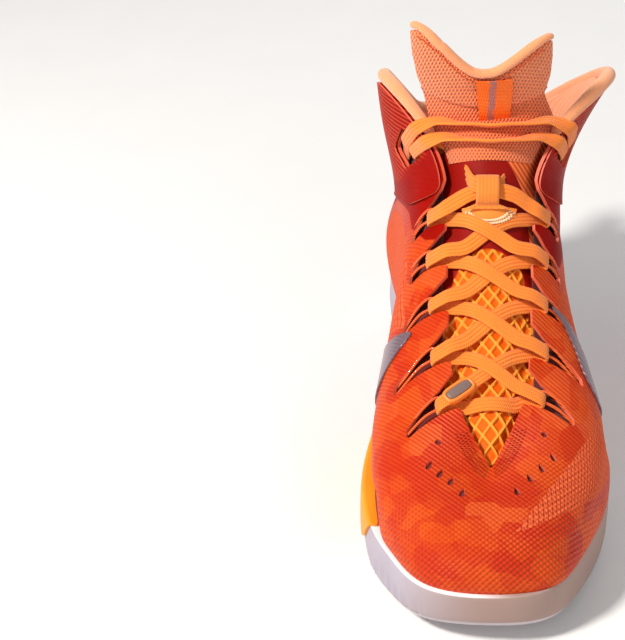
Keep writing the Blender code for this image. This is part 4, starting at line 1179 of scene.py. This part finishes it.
def build_stripe():
    """Orange film stripe with a worn mauve line, slightly beside the middle of the tongue top."""
    p = Paint("stripe_film", 0.5)
    off_line = p.math('SUBTRACT', p.along((1.0, 0.0, 0.0)), ORIGIN_SHIFT[0] + 0.8)
    on_line = p.step(p.math('ABSOLUTE', off_line), 1.9, 1.3)
    tone = p.mix(p.noise(8.0, 2.0), srgb(250, 96, 12), srgb(255, 124, 36))
    grain = p.times(p.wave((1, 0, 0.4), 1.9), p.wave((-1, 0, 0.8), 1.9))
    tone = p.over(tone, srgb(220, 70, 6), p.step(grain, 0.2, 0.8), 0.3)
    tone = p.over(tone, srgb(176, 110, 104), on_line, p.step(p.noise(2.0, 3.0), 0.25, 0.5))
    p.bump(grain, 0.08)
    grid = [[top_point(t, g, -0.9) for g in np.linspace(0.42, -0.10, 9)] for t in np.linspace(-0.5, 1.8, 14)]
    stripe = sheet("centre_stripe", np.array(grid), p.colour(tone), 0.5)
    declare(stripe, "tongue_upper", "tongue_stripe", "tongue_stripe")


def build_neck():
    """Cloth between the tongue's two parts."""
    cloth = hole_mesh_paint("neck_cloth", srgb(248, 132, 74), srgb(238, 104, 48), srgb(170, 44, 10))
    gs = np.linspace(-1.0, 1.0, 41)
    low = [tongue(u, gs, -0.75)[0] for u in (7.55, 7.75, 7.95, 8.1)]
    high = [[top_point(t, g, 1.6) for g in gs] for t in (0.0, 0.4)]
    neck = sheet("tongue_neck", through(np.array(low + high), 26)[:, ::-1], cloth, 0.9)
    start, end = metres(tongue_point(7.9, 0.0)), metres(top_point(0.1, 0.0, 1.6))
    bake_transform(neck)


KEEPER_STATION = 6.78        # straight edge of the keeper's half-round base
KEEPER_DROP = 0.30           # stations that the base reaches down from it
KEEPER_HALF = 0.74           # half the base's width, in the tongue's g


def build_keeper():
    """Webbing loop that holds the laces, on a half-round base with two zigzag seams."""
    cloth = webbing_paint("keeper_cloth", srgb(250, 150, 46), srgb(226, 104, 18), 1.6)
    _, out, along = [a[0] for a in throat(np.array([7.08]))]
    base = tongue_point(7.08, 0.0)
    profile = [(-9.8, 1.3), (-8.0, 2.2), (-6.8, 4.8), (-3.5, 7.0), (1.5, 7.0), (4.3, 5.4), (5.4, 2.4)]
    line = through([base + along * a + out * b for a, b in profile], 60)
    share = np.linspace(0, 1, len(line))
    widths = 1.0 + 0.9 * smooth(0.22, 0.0, share) + 0.1 * smooth(0.8, 1.0, share)
    across = np.tile([1.0, 0, 0], (len(line), 1))
    keeper = band("keeper_strap", line, across, 10.4, 1.15, cloth, widths=widths)
    declare(keeper, "shoe", "keeper_webbing", "tongue_keeper")
    grid = []
    for r in np.linspace(0, 1, 12):
        gs = np.linspace(-1, 1, 25) * KEEPER_HALF * math.sqrt(1 - (0.92 * r) ** 2)
        grid.append(tongue(KEEPER_STATION - KEEPER_DROP * r, gs, -1.0 - 0.5 * (1 - r))[0])
    patch = sheet("keeper_base", np.array(grid)[:, ::-1], cloth, 0.9)
    declare(patch, "shoe", "keeper_webbing", "keeper_patch")
    thread = thread_paint("cream_thread", srgb(255, 226, 190), srgb(246, 196, 150))
    rows = []
    for ring, scale in enumerate((0.74, 0.90)):
        zig = []
        for k, g in enumerate(np.linspace(-0.98, 0.98, 44)):
            reach = scale + (0.055 if k % 2 else -0.055)
            u = KEEPER_STATION - KEEPER_DROP * reach * math.sqrt(1 - g * g) - 0.02
            zig.append(tongue_point(u, g * KEEPER_HALF * reach, -2.5))
        rows.append(tube(f"keeper_thread_{ring}", even(zig, 0.35), 0.38, thread, 6))
    declare(join("keeper_thread", rows), "shoe", "keeper_webbing")


# ---------------------------------------------------------------- cables and lace

def side_u(side, u):
    """Station on the given side."""
    return u if side > 0 else STATIONS - u


# A cable up one strand, round under the lace and down the other: station from its loop's, row, depth
CABLE_ROUTE = ((-0.26, 2.6, 3.2), (-0.25, 3.3, 2.8), (-0.20, 3.75, 1.7), (-0.08, 4.15, 1.0),
               (-0.02, 4.45, 0.9), (0.04, 4.62, 1.3), (0.12, 4.62, 1.3), (0.17, 4.45, 0.9),
               (0.06, 4.15, 0.8), (-0.10, 3.75, 1.6), (-0.14, 3.3, 2.8), (-0.14, 2.6, 3.2))


def build_cables():
    """Two thin strands in each notch, from its tip up to the lace, and round under it."""
    p = Paint("cable_sheath", 0.38, Coat_Weight=0.3)
    twist = p.wave((0.5, 0.6, 0.62), 0.9)
    p.bump(twist, 0.08)
    mat = p.colour(p.mix(p.step(twist, -0.6, 0.8), srgb(214, 60, 14), srgb(244, 118, 40)))
    for side, name in SIDES:
        for index, k in enumerate(LOOP_STATIONS, 1):
            points = [skin(side_u(side, k + du), v, depth) for du, v, depth in CABLE_ROUTE]
            cable = tube(f"cable_{name}_{index}", even(through(points, 160), 1.0), 0.72, mat)
            declare(cable, "shoe", "cable_red", f"cable_loop_{name}_{index}")


# Heights of a crossing run over the tongue, from the loop that it leaves to the one that it reaches
UPPER_HEIGHTS = (5.8, 4.2, 3.9, 3.6, 2.2)
LOWER_HEIGHTS = (4.4, 2.0, 1.6, 1.5, 1.5)
TAGGED_HEIGHTS = (6.0, 3.6, 2.0, 1.5, 1.5)
TAG_INDEX = 9                # first of the route's points that lie in the tag


class Lace:
    """Route of the lace's centre line with the direction that its width points in."""

    def __init__(self):
        self.points = []
        self.across = []

    def on_skin(self, side, u, v, depth):
        s = side_u(side, u)
        self.points.append(skin(s, v, depth))
        self.across.append(unit(skin(s + 0.05, v, depth) - skin(s - 0.05, v, depth)) * side)

    def on_tongue(self, u, g, height, lean=0.0):
        way = unit(tongue_point(u + 0.05, g) - tongue_point(u - 0.05, g))
        out = unit(np.cross(tongue_point(u, g + 0.05) - tongue_point(u, g - 0.05), way))
        self.points.append(tongue_point(u, g) + out * height)
        self.across.append(way * math.cos(lean) + out * math.sin(lean))

    def straighten(self, start, end):
        for i in range(start, end + 1):
            share = (i - start) / (end - start)
            if start < i < end:
                self.points[i] = self.points[start] * (1 - share) + self.points[end] * share
            self.across[i] = self.across[start]

    def sweep(self, knots):
        """Over the tongue through the knots and half-way between them."""
        for start, end in zip(knots, knots[1:]):
            for share in (0.0, 0.5):
                self.on_tongue(*[a + (b - a) * share for a, b in zip(start, end)])
        self.on_tongue(*knots[-1])

    def through_loop(self, side, u, lifted):
        """Up behind a cable loop, round it and out over the throat edge."""
        for v, depth, ahead in ((4.9, 3.4, 0.0), (4.72, 3.1, 0.0), (4.55, 2.9, -0.01), (4.42, 0.8, -0.02),
                                (4.52, -1.4 - lifted, 0.0), (4.74, -2.0 - lifted, 0.05),
                                (4.97, -2.4 - lifted, 0.13)):
            self.on_skin(side, u + ahead, v, depth)

    def cross(self, side, start, end, heights):
        """Over the tongue from one side's loop to the other side's next one."""
        for share, height in zip(np.linspace(0, 1, 7)[1:-1], heights):
            progress = 1 - (1 - share) ** 1.45
            self.on_tongue(start + (end - start) * progress, side * (1 - 2 * share), height)

    def round_edge(self, side, u, rows):
        for v, depth in rows:
            self.on_skin(side, u, v, depth)


def strand(lace, side):
    """From the bottom bar up through the five loops, under the keeper and across the top."""
    for index, station in enumerate(LOOP_STATIONS):
        tagged = index == 0 and side < 0
        lace.through_loop(side, station, TAG_LIFT if tagged else 0.0)
        if station != LOOP_STATIONS[-1]:
            heights = TAGGED_HEIGHTS if tagged else UPPER_HEIGHTS if side > 0 else LOWER_HEIGHTS
            lace.cross(side, station, LOOP_STATIONS[index + 1], heights)
            side = -side
    run, over, dip = (TOP_RUNS[0], 4.4, 0.4) if side > 0 else (TOP_RUNS[1], 1.9, -2.4)
    lace.sweep([(6.84, side * 0.92, 6.0), (6.98, side * 0.6, over + 0.8), (7.03, side * 0.3, over),
                (7.08, 0.0, over), (7.13, -side * 0.3, over), (7.30, -side * 0.55, dip),
                (7.5, -side * 0.8, -2.4), (run - 0.12, -side * 0.97, -2.4)])
    lace.round_edge(-side, run, ((4.95, 2.9), (4.72, 2.8), (4.55, 2.8), (4.42, 0.8), (4.55, -1.4),
                                 (4.78, -2.0), (5.0, -2.4)))
    lace.sweep([(run, -side * 0.8, 4.8, -0.9), (run - 0.07, -side * 0.5, 3.9, -1.35),
                (run - 0.12, 0.0, 3.6, -1.45),
                (run - 0.07, side * 0.5, 3.9, -1.35), (run, side * 0.8, 4.8, -0.9)])
    lace.round_edge(side, run, ((5.0, -2.4), (4.78, -2.0), (4.55, -1.4), (4.40, 0.6), (4.2, 3.2),
                                (3.9, 3.3), (3.6, 3.3)))


def build_lace():
    mat = webbing_paint("lace_cloth", srgb(250, 146, 36), srgb(240, 106, 6), 1.65)
    halves = []
    for side in (1, -1):
        lace = Lace()
        for g, height in ((0.0, 1.7), (0.4, 1.7), (0.8, 1.8)):
            lace.on_tongue(BAR_STATION, side * g, height)
        lace.on_skin(side, BAR_STATION + 0.02, 4.96, 3.4)
        strand(lace, side)
        halves.append(lace)
    first, second = halves
    second.straighten(TAG_INDEX, TAG_INDEX + 3)
    points = np.array(second.points[:0:-1] + first.points)
    across = np.array(second.across[:0:-1] + first.across)
    step = 1.1
    fine = even(through(np.concatenate([points, across * 10], 1), len(points) * 10), step)
    line, wide = fine[:, :3], fine[:, 3:]
    for _ in range(7):
        line[1:-1] = (line[:-2] + 2 * line[1:-1] + line[2:]) / 4
        wide[1:-1] = (wide[:-2] + wide[1:-1] + wide[2:]) / 3
    run = np.arange(len(line)) * step
    widths = 1 + 0.04 * np.sin(run / 17.0) + 0.025 * np.sin(run / 5.3 + 1.0)
    lace = band("flat_lace", line, wide, LACE_WIDTH, LACE_THICK, mat, ribs=4, widths=widths)
    declare(lace, "shoe", "lace_weave", "lace")
    return second


def oval_stack(name, levels, power, mat, pose):
    """A closed piece through rounded oblongs, each with its half length, half width and height."""
    turn = np.linspace(0, 2 * math.pi, 48, endpoint=False)
    c, s = np.cos(turn), np.sin(turn)
    x, y = np.sign(c) * np.abs(c) ** power, np.sign(s) * np.abs(s) ** power
    obj = loft(name, [np.stack([a * x, b * y, 0 * c + z], 1) for a, b, z in levels], mat)
    obj.data.transform(pose @ Matrix.Translation(-Vector(metres([0, 0, 0]))))
    return orient(obj)


def build_tag(lace):
    """Slim sleeve on the lowest inner lace run: a rounded frame round a plain grey inlay."""
    start, middle, end = lace.points[TAG_INDEX:TAG_INDEX + 3]
    ahead = Vector(end - start).normalized()
    wide = Vector(lace.across[TAG_INDEX + 1])
    wide = (wide - ahead * wide.dot(ahead)).normalized()
    out = ahead.cross(wide)
    if out.z < 0:
        wide, out = -wide, -out
    pose = Matrix((ahead, wide, out)).transposed().to_4x4()
    pose.translation = Vector(metres(middle * 0.5 + (start + end) * 0.25)) - ahead * 0.4 * 0.001
    a, b, h = 15.6 / 2, 7.8 / 2, 4.0 / 2

    def level(inset, z):
        return a - inset, b - inset, z

    shell = moulded_paint("tag_plastic", srgb(255, 156, 66), srgb(240, 116, 30), 0.8, 0.03, 0.4)
    levels = [level(1.4, -h), level(0.4, -h + 0.3), level(0, -h + 1.1), level(0, h - 1.1),
              level(0.25, h - 0.25), level(0.8, h), level(1.3, h - 0.05), level(1.5, h - 0.6)]
    declare(oval_stack("tag_sleeve", levels, 0.55, shell, pose), "tag", "lace_tag", "lace_tag")
    film = moulded_paint("tag_inlay_film", srgb(138, 116, 110), srgb(112, 92, 88), 0.5, 0.05, 0.4)
    levels = [level(1.6, h - 0.7), level(1.7, h - 0.1), level(2.2, h + 0.15)]
    declare(oval_stack("tag_inlay", levels, 0.5, film, pose), "tag", "grey_inlay", "lace_tag_inlay")


# ---------------------------------------------------------------- sole unit

def spring(y):
    """Height of the ground side of the sole: it rises at the toe and a little at the heel."""
    toe = np.where(y < -90, TOE_SPRING * ((-90 - y) / 60) ** 2, 0)
    return toe + np.where(y > 125, HEEL_SPRING * ((y - 125) / 25) ** 2, 0)


def sole_point(u, offset, share, lift):
    """Point off the feather line by offset in plan, at share of its height above the ground line."""
    u, offset = np.broadcast_arrays(u, offset)
    p = skin(u, 1.0)
    ahead = skin(u + 0.05, 1.0) - skin(u - 0.05, 1.0)
    out = unit(np.stack([ahead[..., 1], -ahead[..., 0], 0 * ahead[..., 0]], -1))
    waist = 5.4 * smooth(-5.4, -6.3, signed(u)) * smooth(-9.8, -8.8, signed(u))
    p = p + out * (offset - waist)[..., None]
    ground = spring(p[..., 1])
    p[..., 2] = ground + (p[..., 2] - ground) * share + lift
    return p


# Wall of the midsole from the outsole up and over its ledge: offset, share of height, lift
WALL = np.array([(-3.0, 0.0, 4.5), (3.4, 0.0, 4.4), (4.5, 0.16, 0.9), (5.0, 0.36, 0), (5.05, 0.6, 0),
                 (4.9, 0.84, 0), (4.6, 0.97, 0.3), (4.1, 1.0, 0.95), (3.0, 1.0, 1.0), (1.2, 1.0, 0.8),
                 (-0.8, 1.0, 0.2), (-2.0, 1.0, -1.5)])
WALL_END = len(WALL) - 1


def wall_point(u, q, depth=0.0):
    """Midsole's outer face; q runs along WALL's rows."""
    u, q, depth = [np.asarray(a, float) for a in np.broadcast_arrays(u, q, depth)]

    def at(a, b):
        rows = spline(WALL, b)
        return sole_point(a, rows[..., 0], rows[..., 1], rows[..., 2])

    across = at(u + 0.02, q) - at(u - 0.02, q)
    along = at(u, q + 0.05) - at(u, q - 0.05)
    return at(u, q) - unit(np.cross(across, along)) * depth[..., None]


def sole_paint():
    """Pale moulded foam: lavender grey wall, a white ledge painted as its lit top face, and painted shade
    with reflected orange light tanning the toe's outer side.
    """
    p = Paint("midsole_foam", Specular_IOR_Level=0.3)
    wall = p.mix(p.noise(22.0, 3.0), srgb(190, 182, 194), srgb(168, 158, 172))
    # Painted shade, with reflected orange light, tans the toe's outer side.
    wall = p.over(wall, srgb(160, 128, 112), p.value("toe_side_shade"), 0.85)
    # Painted light: the ledge's top face is white where it is lit, most on the inner front, over the darker
    # wall.
    wall = p.mix(p.step(p.value("edge"), 0.0, 1.0), wall, srgb(250, 250, 252))
    p.put("Roughness", p.plus(0.42, p.times(p.noise(2.5, 4.0), 0.2)))
    p.bump(p.noise(0.6, 3.0), 0.05)
    return p.colour(p.over(wall, srgb(120, 108, 112), p.step(p.noise(3.5, 6.0), 0.60, 0.76), 0.16))


def wall_relief(turn, qq):
    """Depth of the toe ribs, the low groove, the swooping line and the heel ribs in the midsole's wall."""
    back = np.abs(turn)
    ribs = np.cos(turn * 2 * math.pi / 0.085) * smooth(-3.2, -2.7, turn) * smooth(-0.7, -1.1, turn)
    ribs = ribs * smooth(1.6, 2.3, qq) * smooth(4.6, 3.6, qq)
    groove = np.exp(-((qq - 2.55 - 0.25 * np.sin(turn * 0.9)) / 0.10) ** 2) * smooth(2.5, 4.0, back)
    swoop = 5.9 - 1.5 * smooth(3.0, 9.0, back) + 0.9 * smooth(9.0, 12.0, back)
    line = np.exp(-((qq - swoop) / 0.13) ** 2) * smooth(3.4, 4.6, back)
    heel_ribs = np.cos(turn * 2 * math.pi / 0.115) * smooth(9.2, 9.9, back)
    heel_ribs = heel_ribs * smooth(2.9, 3.3, qq) * smooth(4.2, 3.8, qq)
    return 0.42 * ribs + 0.55 * groove + 0.5 * line + 0.35 * heel_ribs


def build_midsole():
    us = np.arange(0, STATIONS, 0.05)
    qs = np.concatenate([np.linspace(0, 1, 4)[:-1], np.linspace(1, 8, 43), np.linspace(8, WALL_END, 8)[1:]])
    uu, qq = np.meshgrid(us, qs, indexing='ij')
    turn = signed(uu)
    grid = wall_point(uu, qq, wall_relief(turn, qq))
    inner_low = wall_point(us, WALL_END)
    inner_low[:, 2] = (inner_low[:, 2] + wall_point(us, 0)[:, 2]) / 2
    grid = np.concatenate([grid, inner_low[:, None]], 1)
    # Painted light on the ledge's top face, strongest at the inner front.
    lit_ledge = 0.15 + 0.85 * smooth(0.6, -0.4, turn) * smooth(-5.0, -4.0, turn)
    # Painted shade over the toe's outer side.
    shaded_toe_side = smooth(-1.9, 0.2, turn) * smooth(4.6, 3.6, turn)
    values = {"edge": smooth(6.3, 7.2, qq) * lit_ledge, "toe_side_shade": shaded_toe_side}
    values = {key: np.pad(field, ((0, 0), (0, 1))) for key, field in values.items()}
    faces = grid_faces(*grid.shape[:2], closed_a=True, closed_b=True)
    midsole = orient(add_mesh("midsole", grid.reshape(-1, 3), faces, sole_paint(), values))
    declare(midsole, "shoe", "white_midsole", "midsole_carrier")


FOAM_FLANKS = {
    "medial": [(-2.86, 9.6), (-2.88, 7.2), (-2.98, 5.2), (-3.2, 3.6), (-3.6, 2.5), (-4.3, 2.1), (-5.0, 2.2),
               (-5.5, 3.2), (-5.8, 5.6), (-5.9, 8.6), (-5.5, 9.6)],
    "lateral": [(3.1, 9.6), (3.2, 8.2), (3.6, 6.9), (4.3, 6.2), (5.0, 6.6), (5.5, 7.8), (5.7, 9.2),
                (5.3, 9.6)],
}


def build_foam():
    """Orange flanks on the midsole's wall, and the core inside it."""
    foam = moulded_paint("foam_skin", srgb(255, 164, 24), srgb(250, 140, 8), 0.7, 0.06, 0.5)
    for name, shape in FOAM_FLANKS.items():
        outline = round_corners(shape, 0.25, 3)
        flank = panel("foam_flank_" + name, outline, [], 0.09, -1.3, 2.0, [foam, foam], surface=wall_point)
        declare(flank, "shoe", "foam_core", "foam_core")
    us = np.arange(0, STATIONS, 0.25)
    levels = ((-7.0, 0.0, 5.0), (-5.0, 0.0, 6.0), (-4.4, 0.5, 0.0), (-5.0, 0.9, 0.0), (-7.0, 0.92, 0.0))
    rings = [sole_point(us, *level) for level in levels]
    caps = across_ring(len(us), 0) + across_ring(len(us), (len(rings) - 1) * len(us))
    faces = grid_faces(len(rings), len(us), closed_b=True) + caps
    core = orient(add_mesh("foam_inside", np.concatenate(rings), faces, foam))
    declare(core, "shoe", "foam_core", "foam_core")


def tread_rings(us):
    """Rings of the herringbone tread, from the outsole's rim in to its spine."""
    rim = sole_point(us, 0.3, 0.0, 0.0)
    spine_y = np.clip(rim[:, 1], -98, 100)
    spine_x = np.interp(spine_y, [-98, -60, -20, 30, 100], [-15, -8, -2, -2, -4])
    spine = np.stack([spine_x, spine_y, 0 * spine_y], 1)
    rings = []
    for share in np.concatenate([[1.0], np.linspace(0.985, 0.0, 58)]):
        ring = spine + (rim - spine) * share
        x, y = ring[:, 0], ring[:, 1]
        fold = np.abs((x / 15.0) % 1.0 - 0.5) * 15.0
        groove = smooth(0.15, 0.75, np.sin((y + fold) * 2 * math.pi / 5.6)) * (share < 0.93)
        arch = smooth(0.0, 1.0, np.exp(-((y - 25) / 26) ** 2)) * (share < 0.9)
        ring[:, 2] = spring(y) + 1.3 * groove * (1 - arch) + 1.6 * arch
        rings.append(ring)
    return rings


def build_outsole():
    us = np.arange(0, STATIONS, 0.05)
    levels = ((-2.0, 4.2), (3.6, 4.15), (3.9, 3.7), (3.7, 2.6), (3.0, 1.4), (2.3, 0.75), (1.2, 0.25))
    rings = [sole_point(us, offset, 0.0, lift) for offset, lift in levels] + tread_rings(us)
    faces = grid_faces(len(rings), len(us), closed_b=True) + across_ring(len(us), 0)
    mat = moulded_paint("outsole_gum", srgb(206, 196, 200), srgb(184, 172, 176), 0.8, 0.06, 0.6)
    outsole = orient(add_mesh("outsole_tread", np.concatenate(rings), faces, mat))
    crisp_edges(outsole)
    declare(outsole, "shoe", "outsole_rubber", "outsole")


def dress_hidden():
    """Materials for the CAD solids that stay."""
    stiff = moulded_paint("stiffener_board", srgb(212, 206, 190), srgb(186, 180, 164), 0.9, 0.08, 0.7)
    tip = moulded_paint("aglet_film", srgb(255, 160, 80), srgb(240, 120, 40), 0.6, 0.03, 0.25)
    dress = {
        "strobel_board": fabric_paint("board_felt", srgb(214, 206, 186), srgb(190, 180, 158), 1.4, 0.1),
        "sockliner": fabric_paint("insole_cloth", srgb(236, 110, 50), srgb(206, 76, 26), 1.0, 0.12),
        "shank_plate": moulded_paint("shank_carbon", srgb(40, 40, 44), srgb(26, 26, 30), 0.8, 0.05, 0.35),
        "toe_puff": stiff,
        "heel_stiffener": stiff,
        "tongue_lining": fabric_paint("tongue_backing", srgb(240, 140, 90), srgb(220, 104, 52), 0.9, 0.1),
        "aglet_a": tip,
        "aglet_b": tip,
    }
    for node, mat in dress.items():
        NODES[node].data.materials[0] = mat
        NODES[node].data.shade_smooth()


build_stage()
FILM = film_paint()
# Salmon cut edges: partly the film's own edge colour and partly a painted highlight that the edges catch.
FILM_EDGE_HIGHLIGHT = moulded_paint("film_edge_highlight", srgb(236, 120, 92), srgb(214, 84, 58), 0.5, 0.03, 0.5)
build_upper(FILM, FILM_EDGE_HIGHLIGHT)
build_wraps(FILM, FILM_EDGE_HIGHLIGHT)
build_seams()
build_flashes()
build_heel_clip()
build_pull_tab()
build_collar_pad()
build_rim()
build_lining()
build_tongue()
build_tongue_pad()
build_stripe()
build_neck()
build_keeper()
build_cables()
build_tag(build_lace())
build_midsole()
build_foam()
build_outsole()
dress_hidden()
